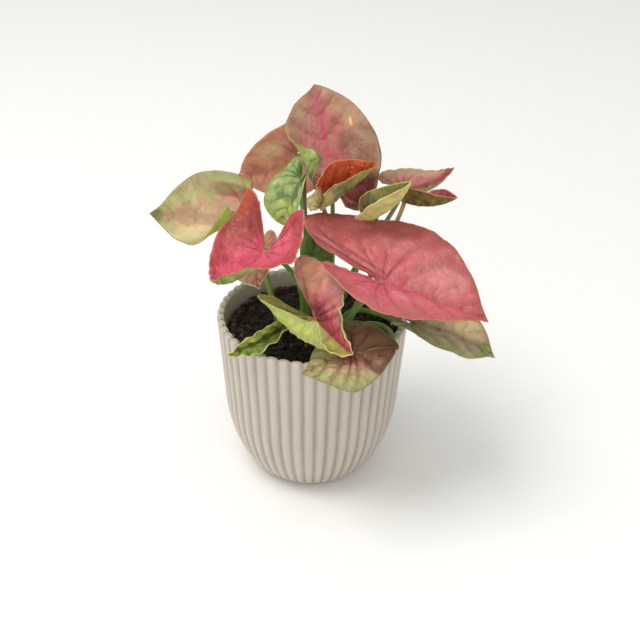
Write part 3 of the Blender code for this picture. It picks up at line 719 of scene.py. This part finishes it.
def blade_mesh(blade, seed, settings):
    """Closed mesh of one blade, with masks that its material reads."""
    made, upper, lower = blade_sides(blade, seed, settings)
    count = made["rim"].size
    index = np.arange(count).reshape(made["rim"].shape)
    quads = np.stack([index[:-1, :-1], index[1:, :-1], index[1:, 1:], index[:-1, 1:]], axis=-1)
    quads = quads.reshape(-1, 4)
    sides = np.hstack([quads, quads[:, ::-1] + count]).reshape(-1, 4)
    edge = np.concatenate([index[0], index[1:, -1], index[-1, -2::-1], index[-2:0:-1, 0]])
    after = np.roll(edge, -1)
    margin = np.stack([edge, after, after + count, edge + count], axis=-1)
    mesh = new_mesh("leaf_" + blade.name, np.stack([upper, lower]), [sides, margin])
    flat = with_zero(made["flat"])
    store(mesh, "flat", np.vstack([flat, flat]), "FLOAT_VECTOR", "vector")
    for name in ("vein", "rim", "share", "swell"):
        store(mesh, name, np.tile(made[name].reshape(-1), 2))
    store(mesh, "under", np.repeat([0.0, 1.0], count))
    return merged(mesh)


def store(mesh, name, values, kind="FLOAT", field="value"):
    """Store values at the points of a mesh."""
    mesh.attributes.new(name, kind, "POINT").data.foreach_set(field, np.ravel(values).astype(np.float32))


def merged(mesh, distance=0.00001):
    """Merge points that coincide, and turn the faces outwards."""
    shape = bmesh.new()
    shape.from_mesh(mesh)
    bmesh.ops.remove_doubles(shape, verts=shape.verts, dist=distance)
    bmesh.ops.recalc_face_normals(shape, faces=shape.faces)
    shape.to_mesh(mesh)
    shape.free()
    mesh.shade_smooth()
    return mesh


def linked(name, data):
    """Put an object in the scene."""
    item = bpy.data.objects.new(name, data)
    bpy.context.scene.collection.objects.link(item)
    return item


def add_piece(name, mesh, finish, slot, *nodes):
    """Add a piece that rides on the plant's one body and stands for its nodes."""
    piece = linked(name, mesh)
    mesh.materials.append(finish.material)
    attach(piece, "root")
    if nodes:
        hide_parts(*nodes)


def blade_matrix(blade):
    """Place and turn of a blade, in metres."""
    angles = (math.radians(blade.roll), -math.radians(blade.pitch), math.radians(blade.heading))
    return Matrix.Translation(Vector(blade.joint) * MM) @ Euler(angles).to_matrix().to_4x4()


def tone_paint(finish, tone, across):
    """Colour of one half, from the midrib to the margin."""
    inner, outer, reach = tone
    share = finish.ramp(across, reach - TONE_SOFTNESS, reach + TONE_SOFTNESS)
    return finish.blend(share, PAINTS[inner], PAINTS[outer])


def patched(finish, colour, patches, x, y, wobble):
    """Lay soft oval patches with uneven edges over a colour."""
    for place_x, place_y, long, wide, paint, strength, *turn in patches:
        angle = math.radians(turn[0]) if turn else 0.0
        cosine, sine = math.cos(angle), math.sin(angle)
        ahead = (x - place_x) * cosine + (y - place_y) * sine
        aside = (y - place_y) * cosine - (x - place_x) * sine
        far = (ahead / long) ** 2 + (aside / wide) ** 2
        mask = (1.0 - finish.ramp(far + wobble * 1.6, 0.35, 1.25)) * strength
        colour = finish.blend(mask, colour, PAINTS[paint])
    return colour


def blade_finish(blade, settings):
    """Upper side with its tones, patches, veins and margin, painted light and shade on its swellings and
    creases, and the paler underside.
    """
    paint = LOOKS[blade.name]
    finish = Finish("blade_" + blade.name)
    flat = finish.attribute("flat", "Vector")
    vein, rim, under, swell = (finish.attribute(name) for name in ("vein", "rim", "under", "swell"))
    x, y, _ = finish.axes(flat)
    broad = finish.noise(flat, 0.10, 3.0)
    quilt = finish.noise(flat, 0.26, 2.5, 0.5)
    fine = finish.noise(flat, 0.75, 4.0, 0.6)
    wobble = broad - 0.5
    across = finish.attribute("share") + wobble * 0.9
    left, right = (tone_paint(finish, side, across) for side in (paint.left, paint.right))
    upper = finish.blend(finish.ramp(y, -0.4, 0.4), right, left)
    cloud_paint, cloudiness = paint.cloud
    cloud = finish.ramp(finish.noise(flat, 0.16, 5.0, 0.66), 0.45, 0.68) * cloudiness
    upper = finish.blend(cloud, upper, PAINTS[cloud_paint])
    upper = patched(finish, upper, paint.patches, x, y, wobble)
    if paint.specks:
        speck_paint, strength = paint.specks
        speck = 1.0 - finish.ramp(finish.cells(flat, 0.55, "F1") + wobble * 0.5, 0.10, 0.20)
        upper = finish.blend(speck * strength, upper, PAINTS[speck_paint])
    vein_paint, strength = paint.vein
    # painted shade: the valleys between the swellings take the vein paint, which is mostly darker
    valley = (1.0 - finish.ramp(swell + (quilt - 0.5) * 0.8, 0.15, 0.75)) * paint.valley
    upper = finish.blend(valley, upper, PAINTS[vein_paint])
    upper = finish.blend(vein * strength, upper, PAINTS[vein_paint])
    back = finish.blend(finish.ramp(quilt, 0.35, 0.75), *(PAINTS[name] for name in paint.back))
    back = patched(finish, back, paint.back_patches, x, y, wobble)
    back = finish.blend(vein * 0.35, back, PAINTS["butter"])
    colour = finish.blend(under, upper, back)
    net = finish.node("CombineXYZ", {}, {0: x + 7.0 * (quilt - 0.5), 1: y + 7.0 * wobble})
    crumple = finish.ramp(finish.cells(net, 0.17), 0.0, 0.3)
    # painted light and shade: the swell term lightens the swellings between veins and the crumple term
    # darkens the crease lines; the noise terms vary the tone at random
    mottle = 0.26 * fine + 0.36 * quilt + 0.24 * swell + 0.18 * crumple - 0.6
    colour = finish.shade(colour, 1.02 + mottle * paint.mottle)
    lip = 1.0 - finish.ramp(rim + wobble * 0.3, 0.08, 0.4)
    colour = finish.blend(lip * 0.7, colour, PAINTS[paint.margin])
    roughness = settings.gloss_roughness + 0.16 * under + 0.2 * (fine - 0.5)
    finish.set("Specular IOR Level", 0.3)
    finish.set("Subsurface Weight", 0.25)
    finish.set("Subsurface Scale", MM)
    web = finish.ramp(finish.cells(flat, 0.5), 0.0, 0.16)
    crease = finish.ramp(vein, 0.3, 1.0)
    relief = 0.04 * web + 0.05 * fine + 0.3 * paint.mottle * crumple
    return finish.coat(colour, roughness, relief + 0.55 * quilt - 0.16 * crease, MM)


def make_blades(settings):
    """Make all blades, each from its row of the table."""
    for index, blade in enumerate(LEAVES):
        mesh = blade_mesh(blade, SEED_STEP * index, settings)
        mesh.transform(blade_matrix(blade))
        slot = "leaf_" + blade.tint
        add_piece("blade_" + blade.name, mesh, blade_finish(blade, settings), slot, "leaf_" + blade.name)


def bezier(p0, p1, p2, p3, count):
    """Points along one Bezier span."""
    t = np.linspace(0.0, 1.0, count)[:, None]
    p0, p1, p2, p3 = (np.array(p, dtype=float) for p in (p0, p1, p2, p3))
    return (1 - t) ** 3 * p0 + 3 * (1 - t) ** 2 * t * p1 + 3 * (1 - t) * t**2 * p2 + t**3 * p3


def tube_mesh(name, path, radii, flatness, sides):
    """Closed tube along a path, wider across its first side by its flatness."""
    path = np.asarray(path)
    along = np.gradient(path, axis=0)
    along /= np.linalg.norm(along, axis=1, keepdims=True)
    across = np.cross(along[0], (0.3, 0.5, 0.8))
    rings = []
    for point, ahead, radius, flat in zip(path, along, radii, flatness):
        across = across - ahead * np.dot(across, ahead)
        across /= np.linalg.norm(across)
        up = np.cross(ahead, across)
        angles = np.linspace(0.0, math.tau, sides, endpoint=False)[:, None]
        rings.append(point + radius * (flat * np.cos(angles) * across + np.sin(angles) / flat * up))
    rings = [np.repeat(path[:1], sides, axis=0), *rings, np.repeat(path[-1:], sides, axis=0)]
    return grid_mesh(name, np.stack(rings))


def grid_mesh(name, rings):
    """Mesh through rings of points, in millimetres; a ring whose points coincide closes an end."""
    index = np.arange(rings[..., 0].size).reshape(rings.shape[:2])
    after = np.roll(index, -1, axis=1)
    quads = np.stack([index[:-1], after[:-1], after[1:], index[1:]], axis=-1)
    return new_mesh(name, rings, [quads.reshape(-1, 4)])


def stalk_path(blade):
    """Path of one stalk: out of the soil beside its stem, up its Bezier curve, into its blade."""
    route = blade.stalk
    angle = math.radians(route.around)
    out = np.array([math.cos(angle), math.sin(angle), 0.0])
    up = np.array([0.0, 0.0, 1.0])
    centre = np.array([*STEM_PLACES[route.stem], STALK_FOOT_HEIGHT])
    foot = centre + out * STALK_RING_RADIUS
    under = np.array(blade_matrix(blade).to_3x3().col[2])
    top = np.array(blade.joint) - under * STALK_STOP
    curve = bezier(foot, foot + out * route.lean + up * route.rise, top + route.tail, top, STALK_STEPS)
    root = [foot - out * inwards - up * down for inwards, down in STALK_ROOT]
    last = [top + under * sunk for sunk in STALK_SINK]
    return np.vstack([root, curve, last])


def stalk_mesh(blade):
    """Tapered stalk with a wider sheath at its foot and a slight swelling under the blade."""
    path = stalk_path(blade)
    run = np.concatenate([[0.0], np.cumsum(np.linalg.norm(np.diff(path, axis=0), axis=1))])
    share = run / run[-1]
    sheath = np.exp(-((run / SHEATH_LENGTH) ** 2))
    collar = np.exp(-(((run[-1] - run) / COLLAR_LENGTH) ** 2))
    radii = STALK_FOOT_RADIUS + (STALK_TOP_RADIUS - STALK_FOOT_RADIUS) * share
    radii = radii * (1.0 + 0.35 * sheath + 0.12 * collar)
    radii[-1] *= 0.55
    mesh = tube_mesh("stalk_" + blade.name, path, radii, 1.0 + 0.28 * sheath, STALK_SIDES)
    share = np.concatenate([share[:1], share, share[-1:]])
    store(mesh, "share", np.repeat(share, STALK_SIDES))
    return merged(mesh)


def stalk_finish(settings):
    """Green stalk: paler in the sheath, flushed near the blade, finely streaked along its length."""
    finish = Finish("stalk_skin")
    place = finish.place()
    share = finish.attribute("share")
    stretched = finish.node("Mapping", {}, {"Vector": place, "Scale": (900.0, 900.0, 90.0)})
    streak = finish.noise(stretched, 1.0, 3.0)
    cloud = finish.noise(place, 110.0, 2.0)
    colour = finish.blend(finish.ramp(cloud, 0.4, 0.7) * 0.5, tuple(settings.stalk), PAINTS["leaf_green"])
    colour = finish.blend(finish.ramp(share + cloud * 0.3, 0.75, 1.25), colour, tuple(settings.stalk_flush))
    colour = finish.blend(1.0 - finish.ramp(share, 0.0, 0.16), colour, PAINTS["pale_green"])
    return finish.coat(finish.shade(colour, 0.8 + 0.4 * streak), 0.36 + 0.16 * streak, streak, 0.00008)


def make_stalks(settings):
    """Make all stalks with one skin."""
    skin = stalk_finish(settings)
    for blade in LEAVES:
        add_piece("petiole_" + blade.name, stalk_mesh(blade), skin, "stalk", "stalk_" + blade.name)


def turned(name, profile, segments, shape=None):
    """Turn (radius, height) pairs about Z; shape may move points, given angles, radii and heights."""
    profile = np.array(profile, dtype=float)
    angles = np.linspace(0.0, math.tau, segments, endpoint=False)[None, :]
    radii = profile[:, :1] + 0.0 * angles
    heights = profile[:, 1:] + 0.0 * angles
    if shape:
        radii, heights = shape(angles + 0.0 * radii, radii, heights)
    return grid_mesh(name, np.stack([radii * np.cos(angles), radii * np.sin(angles), heights], axis=-1))


def stem_finish(settings):
    """Stem: green, with paler leaf scars and brown flecks."""
    finish = Finish("stem_skin")
    place = finish.place()
    height = finish.axes(place)[2]
    ring = finish.math("SINE", height * (math.tau / LEAF_SCAR_GAP)) * 0.5 + 0.5
    speck = finish.noise(place, 900.0, 3.0)
    colour = finish.blend(finish.ramp(ring, 0.6, 1.0) * 0.5, tuple(settings.stem), PAINTS["khaki"])
    colour = finish.blend(finish.ramp(speck, 0.55, 0.7) * 0.7, colour, PAINTS["brown"])
    return finish.coat(colour, 0.45 + 0.25 * speck, speck, 0.0002)


def make_stems(settings):
    """Make the three short stems with the rings of their leaf scars."""
    skin = stem_finish(settings)

    def scars(angles, radii, heights):
        waves = 0.18 * np.sin(heights * 3.0) + 0.12 * np.sin(3 * angles + heights)
        return np.maximum(0.0, radii + waves * np.clip(radii, 0.0, 1.0)), heights

    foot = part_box("stem_left")[0].z / MM
    shoulder = STEM_TOP - STEM_DOME
    heights = np.linspace(foot, shoulder, 40)
    profile = [(0.0, foot), *((STEM_RADIUS, height) for height in heights)]
    profile += [(STEM_RADIUS * math.cos(a), shoulder + 1.9 * math.sin(a)) for a in (0.4, 0.8, 1.2)]
    profile += [(0.0, STEM_TOP)]
    for name, (x, y) in STEM_PLACES.items():
        mesh = merged(turned("crown_" + name, profile, 28, scars))
        mesh.transform(Matrix.Translation((x * MM, y * MM, 0.0)))
        add_piece("crown_" + name, mesh, skin, "stem", "stem_" + name)


def planter_radius(height):
    """Outer radius of the planter's wall, without its ribs."""
    straight = (height - SHOULDER_HEIGHT) / (PLANTER_HEIGHT - SHOULDER_HEIGHT)
    if height >= SHOULDER_HEIGHT:
        return SHOULDER_RADIUS + straight * (RIM_RADIUS - SHOULDER_RADIUS)
    drop = 1.0 - height / SHOULDER_HEIGHT
    bulge = (1.0 - drop**BOWL_POWER) ** (1.0 / BOWL_POWER)
    return BASE_RADIUS + bulge * (SHOULDER_RADIUS - BASE_RADIUS)


def planter_profile():
    """Profile of the planter from the middle of its floor, over the rim, to its underside."""
    rim = PLANTER_HEIGHT - RIM_ROUNDING
    inner = np.linspace(FLOOR + FILLET, rim, 40)
    outer = np.linspace(rim, 4.0, 52)
    floor_radius = planter_radius(FLOOR) - 1.5 * WALL
    profile = [(0.0, FLOOR), (0.5 * floor_radius, FLOOR), (floor_radius, FLOOR)]
    profile += [(planter_radius(FLOOR + 2.5) - 1.25 * WALL, FLOOR + 1.2)]
    profile += [(planter_radius(height) - WALL, height) for height in inner]
    for step in range(1, RIM_STEPS):
        angle = math.pi * (1.0 - step / RIM_STEPS)
        reach = WALL / 2 * math.copysign(abs(math.cos(angle)) ** 0.8, math.cos(angle))
        rise = RIM_ROUNDING * math.sin(angle) ** 0.8
        profile.append((planter_radius(rim) - WALL / 2 + reach, rim + rise))
    profile += [(planter_radius(height), height) for height in (*outer, *FOOT_HEIGHTS)]
    profile += [(BASE_RADIUS + 0.75, 0.45), (BASE_RADIUS + 0.1, 0.0), (0.5 * BASE_RADIUS, 0.0), (0.0, 0.0)]
    return profile


def make_planter(settings):
    """Make the planter with its ribs, and store how deep in a groove each point lies."""
    depth = settings.rib_depth / MM
    profile = planter_profile()
    walls = np.array([planter_radius(height) for _, height in profile])[:, None]
    grooves = []

    def ribs(angles, radii, heights):
        turn = (angles - math.radians(FIRST_GROOVE_ANGLE)) / math.tau * RIB_COUNT
        groove = np.abs(2.0 * (turn % 1.0) - 1.0) ** RIB_SQUARENESS
        grown = np.clip((heights - RIB_START_HEIGHT) / (RIB_FULL_HEIGHT - RIB_START_HEIGHT), 0.0, 1.0)
        grown = grown**2 * (3.0 - 2.0 * grown)
        inside = np.clip((walls - radii) / WALL, 0.0, 1.0)
        on_floor = (heights < FLOOR + 3.0) & (inside > 0.5)
        share = np.where(on_floor, 0.0, 1.0 - (1.0 - INNER_FLUTE_SHARE) * inside)
        near_rim = np.clip((heights - PLANTER_HEIGHT + RIM_FLUTE_HEIGHT) / RIM_FLUTE_FADE, 0.0, 1.0)
        share = np.maximum(share, RIM_FLUTE_SHARE * near_rim)
        cut = groove * grown * share
        grooves.append(np.where(inside < 0.3, cut, 0.3 * cut))
        inwards = np.where(inside > 0.5, -0.8 * near_rim, 1.0)
        return np.maximum(0.0, radii - depth * cut * inwards), heights - RIM_DIP * near_rim * cut

    mesh = turned("planter_glazed", profile, RIB_COUNT * RIB_SEGMENTS, ribs)
    store(mesh, "groove", grooves[0])
    add_piece("planter_glazed", merged(mesh), glaze_finish(settings), "ceramic", "planter")


def glaze_finish(settings):
    """Satin glaze with painted shade in the grooves, darker and a little warmer there; faintly mottled and
    uneven.
    """
    finish = Finish("satin_glaze")
    place = finish.place()
    cloud = finish.noise(place, 45.0, 3.0)
    grain = finish.noise(place, 900.0, 2.0)
    # painted shade: the glaze turns darker and warmer down in the grooves between the ribs
    groove_shade = finish.attribute("groove") * (0.35 + 0.5 * cloud)
    colour = finish.blend(finish.ramp(cloud, 0.35, 0.7) * 0.5, tuple(settings.glaze), srgb(184, 173, 158))
    colour = finish.blend(groove_shade, colour, srgb(116, 105, 90))
    speck = 1.0 - finish.ramp(finish.cells(place, 260.0, "F1") + grain * 0.2, 0.13, 0.17)
    colour = finish.blend(speck * 0.25, colour, srgb(150, 136, 116))
    finish.set("Coat Weight", 0.25 - 0.15 * groove_shade)
    finish.set("Coat Roughness", 0.3)
    roughness = settings.glaze_roughness + 0.2 * (cloud - 0.5) + 0.12 * grain
    return finish.coat(colour, roughness, cloud * 0.5 + grain * 0.12, 0.0001)


def grow_pot_radius(height):
    """Outer radius of the nursery pot's tapered wall."""
    share = (height - GROW_POT_BASE) / (GROW_POT_TOP - GROW_POT_BASE)
    return GROW_POT_BASE_RADIUS + share * (GROW_POT_TOP_RADIUS - GROW_POT_BASE_RADIUS)


def soil_radius(height):
    """Inner radius of the nursery pot."""
    return grow_pot_radius(height) - GROW_POT_WALL


def make_grow_pot(settings):
    """Make the thin nursery pot with its rolled lip."""
    foot, top, wall = GROW_POT_BASE, GROW_POT_TOP, GROW_POT_WALL
    inner = [(soil_radius(height), height) for height in np.linspace(foot + wall, top - 0.6, 30)]
    lip = [(GROW_POT_TOP_RADIUS + out, top + up) for out, up in GROW_POT_LIP]
    outer = [(grow_pot_radius(height), height) for height in np.linspace(top - 2.5, foot + 0.8, 30)]
    profile = [(0.0, foot + wall), *inner, *lip, *outer, (grow_pot_radius(foot) - 0.6, foot), (0.0, foot)]
    mesh = merged(turned("nursery_pot", profile, 128))
    finish = Finish("moulded_pot")
    place = finish.place()
    grain = finish.noise(place, 1400.0, 2.0)
    dirt = finish.ramp(finish.noise(place, 160.0, 4.0), 0.5, 0.72)
    colour = finish.blend(dirt * 0.75, tuple(settings.grow_pot), srgb(52, 36, 28))
    finish.coat(colour, 0.34 + 0.35 * dirt + 0.08 * grain, grain * 0.4 + dirt, 0.00012)
    add_piece("nursery_pot", mesh, finish, "nursery_pot", "grow_pot")


def soil_height(x, y):
    """Height of the soil's lumpy surface over its level, in millimetres."""
    lumps = noise.fractal(Vector((x * 0.09, y * 0.09, 3.7)), 1.0, 2.1, 5)
    crumbs = noise.fractal(Vector((x * 0.4, y * 0.4, 9.1)), 0.8, 2.0, 3)
    return SOIL_LUMP_HEIGHT * lumps + SOIL_CRUMB_HEIGHT * crumbs


def make_soil(settings):
    """Make the block of soil with its lumpy top."""
    top_radius = soil_radius(SOIL_LEVEL) - SOIL_GAP
    foot = GROW_POT_BASE + GROW_POT_WALL + 0.3
    rings = [(top_radius * (step / SOIL_RINGS), SOIL_LEVEL) for step in range(SOIL_RINGS + 1)]
    heights = (SOIL_LEVEL - 2.0, 40.0, 20.0, foot + 1.0)
    walls = [(soil_radius(height) - SOIL_GAP, height) for height in heights]

    def lumpy(angles, radii, heights):
        lifted = heights.copy()
        for index in np.ndindex(heights.shape):
            if heights[index] >= SOIL_LEVEL:
                x, y = radii[index] * math.cos(angles[index]), radii[index] * math.sin(angles[index])
                lifted[index] += soil_height(x, y)
        return radii, lifted

    mesh = merged(turned("potting_soil", [*rings, *walls, (0.0, foot)], SOIL_SEGMENTS, lumpy))
    add_piece("potting_soil", mesh, soil_finish("moist_soil", settings.soil), "soil", "soil")


def soil_finish(name, colour):
    """Moist, dark and rough, with browner fibres and a few damp glints."""
    finish = Finish(name)
    place = finish.place()
    cloud = finish.noise(place, 260.0, 5.0, 0.65)
    grain = finish.noise(place, 1500.0, 4.0, 0.7)
    brown = finish.blend(finish.ramp(cloud, 0.45, 0.7), tuple(colour), srgb(70, 50, 36))
    return finish.coat(finish.shade(brown, 0.5 + 1.0 * grain), 0.55 + 0.4 * grain, grain + cloud, 0.0005)


def lump(shape, radius, place, random, roundness):
    """Add one irregular crumb to a mesh."""
    made = bmesh.ops.create_icosphere(shape, subdivisions=1, radius=radius * MM)["verts"]
    scale = random.uniform(roundness, 1.0, 3)
    turn = Euler(random.uniform(0.0, math.tau, 3)).to_matrix()
    for vertex in made:
        vertex.co *= 1.0 + random.uniform(-0.22, 0.22)
        stretched = Vector(part * size for part, size in zip(vertex.co, scale))
        vertex.co = turn @ stretched + Vector(place) * MM


def free_spot(random, inner, outer):
    """A random place on the soil that isn't inside a stem."""
    while True:
        angle = random.uniform(0.0, math.tau)
        radius = math.sqrt(random.uniform(inner**2, outer**2))
        x, y = radius * math.cos(angle), radius * math.sin(angle)
        if all(math.hypot(x - a, y - b) > STEM_CLEARANCE for a, b in STEM_PLACES.values()):
            return x, y


def scattered(name, batches, random):
    """Irregular grains in batches, as one mesh.

    A batch is its count, the ring it lies in, the heights it lies at, its sizes and its roundness.
    """
    shape = bmesh.new()
    for count, ring, height_at, sizes, roundness in batches:
        for _ in range(count):
            x, y = free_spot(random, *ring)
            lump(shape, random.uniform(*sizes), (x, y, height_at(x, y)), random, roundness)
    mesh = bpy.data.meshes.new(name)
    shape.to_mesh(mesh)
    shape.free()
    return mesh


def make_crumbs(settings):
    """Scatter loose crumbs, bark and white grains on the soil, and dirt on the nursery pot's lip."""
    random = np.random.default_rng(settings.seed)
    soil = (0.0, soil_radius(SOIL_LEVEL) - 1.2)
    lip = (GROW_POT_TOP_RADIUS - 1.8, GROW_POT_TOP_RADIUS + 1.0)

    def on_soil(x, y):
        return SOIL_LEVEL + soil_height(x, y) + 0.15

    def on_lip(x, y):
        return GROW_POT_TOP + 0.1 + 0.5 * noise.noise(Vector((x, y, 0.0)))

    count = settings.crumb_count
    crumbs = [
        (count, soil, on_soil, (0.35, 1.1), 0.5),
        (count // 6, soil, on_soil, (1.1, 2.1), 0.5),
        (count // 3, lip, on_lip, (0.35, 0.95), 0.5),
    ]
    bark = [(count // 10, soil, on_soil, (0.8, 2.0), 0.22), (count // 60, lip, on_lip, (0.7, 1.5), 0.22)]
    grains = [(settings.perlite_count, soil, on_soil, (0.4, 0.95), 0.7)]
    skin = soil_finish("crumbs", settings.soil)
    add_piece("soil_crumbs", scattered("soil_crumbs", crumbs, random), skin, "soil")
    skin = soil_finish("bark", srgb(88, 58, 40))
    add_piece("bark_bits", scattered("bark_bits", bark, random), skin, "soil")
    finish = Finish("perlite_grain")
    grain = finish.noise(finish.place(), 1600.0, 3.0)
    stain = finish.ramp(finish.noise(finish.place(), 500.0, 2.0), 0.4, 0.65) * 0.7
    colour = finish.blend(stain, tuple(settings.perlite), srgb(128, 104, 80))
    finish.coat(colour, 0.7 + 0.2 * grain, grain, 0.0003)
    add_piece("perlite", scattered("perlite", grains, random), finish, "soil")


def softbox(name, place, size, power):
    """Add an oblong area light that faces the plant."""
    light = bpy.data.lights.new(name, "AREA")
    light.shape = "RECTANGLE"
    light.size, light.size_y = size
    light.energy = power
    lamp = linked(name, light)
    lamp.location = place
    lamp.rotation_euler = (Vector(LIGHT_TARGET) - Vector(place)).to_track_quat("-Z", "Y").to_euler()


def make_stage(settings):
    """Lay the floor, hang the lights and place the camera."""
    far = FLOOR_REACH
    mesh = bpy.data.meshes.new("floor")
    mesh.from_pydata([(-far, -far, 0), (far, -far, 0), (far, far, 0), (-far, far, 0)], [], [(0, 1, 2, 3)])
    finish = Finish("studio_floor")
    finish.set("Base Color", (*settings.floor, 1.0))
    finish.set("Roughness", 0.9)
    mesh.materials.append(finish.material)
    linked("floor", mesh)
    softbox("key", KEY_PLACE, KEY_SIZE, settings.key_power)
    softbox("fill", FILL_PLACE, FILL_SIZE, settings.fill_power)
    world = bpy.data.worlds.new("studio")
    world.use_nodes = True
    sky = world.node_tree.nodes["Background"].inputs
    sky["Color"].default_value = SKY_COLOUR
    sky["Strength"].default_value = settings.sky
    bpy.context.scene.world = world
    bpy.context.scene.view_settings.view_transform = "Standard"
    place_camera(settings)


def place_camera(settings):
    """Look down at the plant from the front."""
    pitch, roll = math.radians(CAMERA_PITCH), math.radians(CAMERA_ROLL)
    camera = linked("camera", bpy.data.cameras.new("camera"))
    camera.data.lens = settings.lens
    turn = Matrix.Rotation(math.pi / 2 - pitch, 4, "X") @ Matrix.Rotation(roll, 4, "Z")
    back = Vector((0.0, -math.cos(pitch), math.sin(pitch))) * CAMERA_DISTANCE
    camera.matrix_world = Matrix.Translation(Vector(CAMERA_TARGET) + back) @ turn
    bpy.context.scene.camera = camera


class SYNGONIUM_OT_planter(bpy.types.Operator):
    """Make the ribbed planter and the nursery pot inside it"""

    bl_idname = "syngonium.planter"
    bl_label = "Planter and nursery pot"

    def execute(self, context):
        make_planter(context.scene.syngonium_planter)
        make_grow_pot(context.scene.syngonium_planter)
        return {"FINISHED"}


class SYNGONIUM_OT_soil(bpy.types.Operator):
    """Fill the nursery pot with soil, crumbs and white grains"""

    bl_idname = "syngonium.soil"
    bl_label = "Soil"

    def execute(self, context):
        make_soil(context.scene.syngonium_soil)
        make_crumbs(context.scene.syngonium_soil)
        return {"FINISHED"}


class SYNGONIUM_OT_stems(bpy.types.Operator):
    """Make the three short stems and the leaf stalks"""

    bl_idname = "syngonium.stems"
    bl_label = "Stems and stalks"

    def execute(self, context):
        make_stems(context.scene.syngonium_leaves)
        make_stalks(context.scene.syngonium_leaves)
        return {"FINISHED"}


class SYNGONIUM_OT_blades(bpy.types.Operator):
    """Make every leaf blade"""

    bl_idname = "syngonium.blades"
    bl_label = "Leaf blades"

    def execute(self, context):
        make_blades(context.scene.syngonium_leaves)
        return {"FINISHED"}


class SYNGONIUM_OT_stage(bpy.types.Operator):
    """Lay the floor, hang the lights and place the camera"""

    bl_idname = "syngonium.stage"
    bl_label = "Stage"

    def execute(self, context):
        make_stage(context.scene.syngonium_stage)
        return {"FINISHED"}


class SYNGONIUM_PT_panel(bpy.types.Panel):
    """Settings and steps of the potted syngonium"""

    bl_idname = "SYNGONIUM_PT_panel"
    bl_label = "Potted Syngonium"
    bl_space_type = "VIEW_3D"
    bl_region_type = "UI"
    bl_category = "Syngonium"

    def draw(self, context):
        for title, settings, operators in STEPS:
            box = self.layout.box()
            box.label(text=title)
            group = getattr(context.scene, settings)
            for key in group.__annotations__:
                box.prop(group, key)
            for operator in operators:
                box.operator(operator.bl_idname)


STEPS = [
    ("Planter", "syngonium_planter", [SYNGONIUM_OT_planter]),
    ("Soil", "syngonium_soil", [SYNGONIUM_OT_soil]),
    ("Leaves", "syngonium_leaves", [SYNGONIUM_OT_stems, SYNGONIUM_OT_blades]),
    ("Stage", "syngonium_stage", [SYNGONIUM_OT_stage]),
]
SETTINGS = {
    "syngonium_planter": SyngoniumPlanterSettings,
    "syngonium_soil": SyngoniumSoilSettings,
    "syngonium_leaves": SyngoniumLeafSettings,
    "syngonium_stage": SyngoniumStageSettings,
}
CLASSES = [*SETTINGS.values(), *(operator for step in STEPS for operator in step[2]), SYNGONIUM_PT_panel]


def register():
    """Register the classes and give the scene its settings."""
    for item in CLASSES:
        bpy.utils.register_class(item)
    for name, group in SETTINGS.items():
        setattr(bpy.types.Scene, name, PointerProperty(type=group))


def unregister():
    """Take the settings and the classes away again."""
    for name in SETTINGS:
        delattr(bpy.types.Scene, name)
    for item in reversed(CLASSES):
        bpy.utils.unregister_class(item)


def main():
    """Make every piece."""
    register()
    bpy.ops.syngonium.stage()
    bpy.ops.syngonium.planter()
    bpy.ops.syngonium.soil()
    bpy.ops.syngonium.stems()
    bpy.ops.syngonium.blades()


if __name__ == "__main__":
    main()
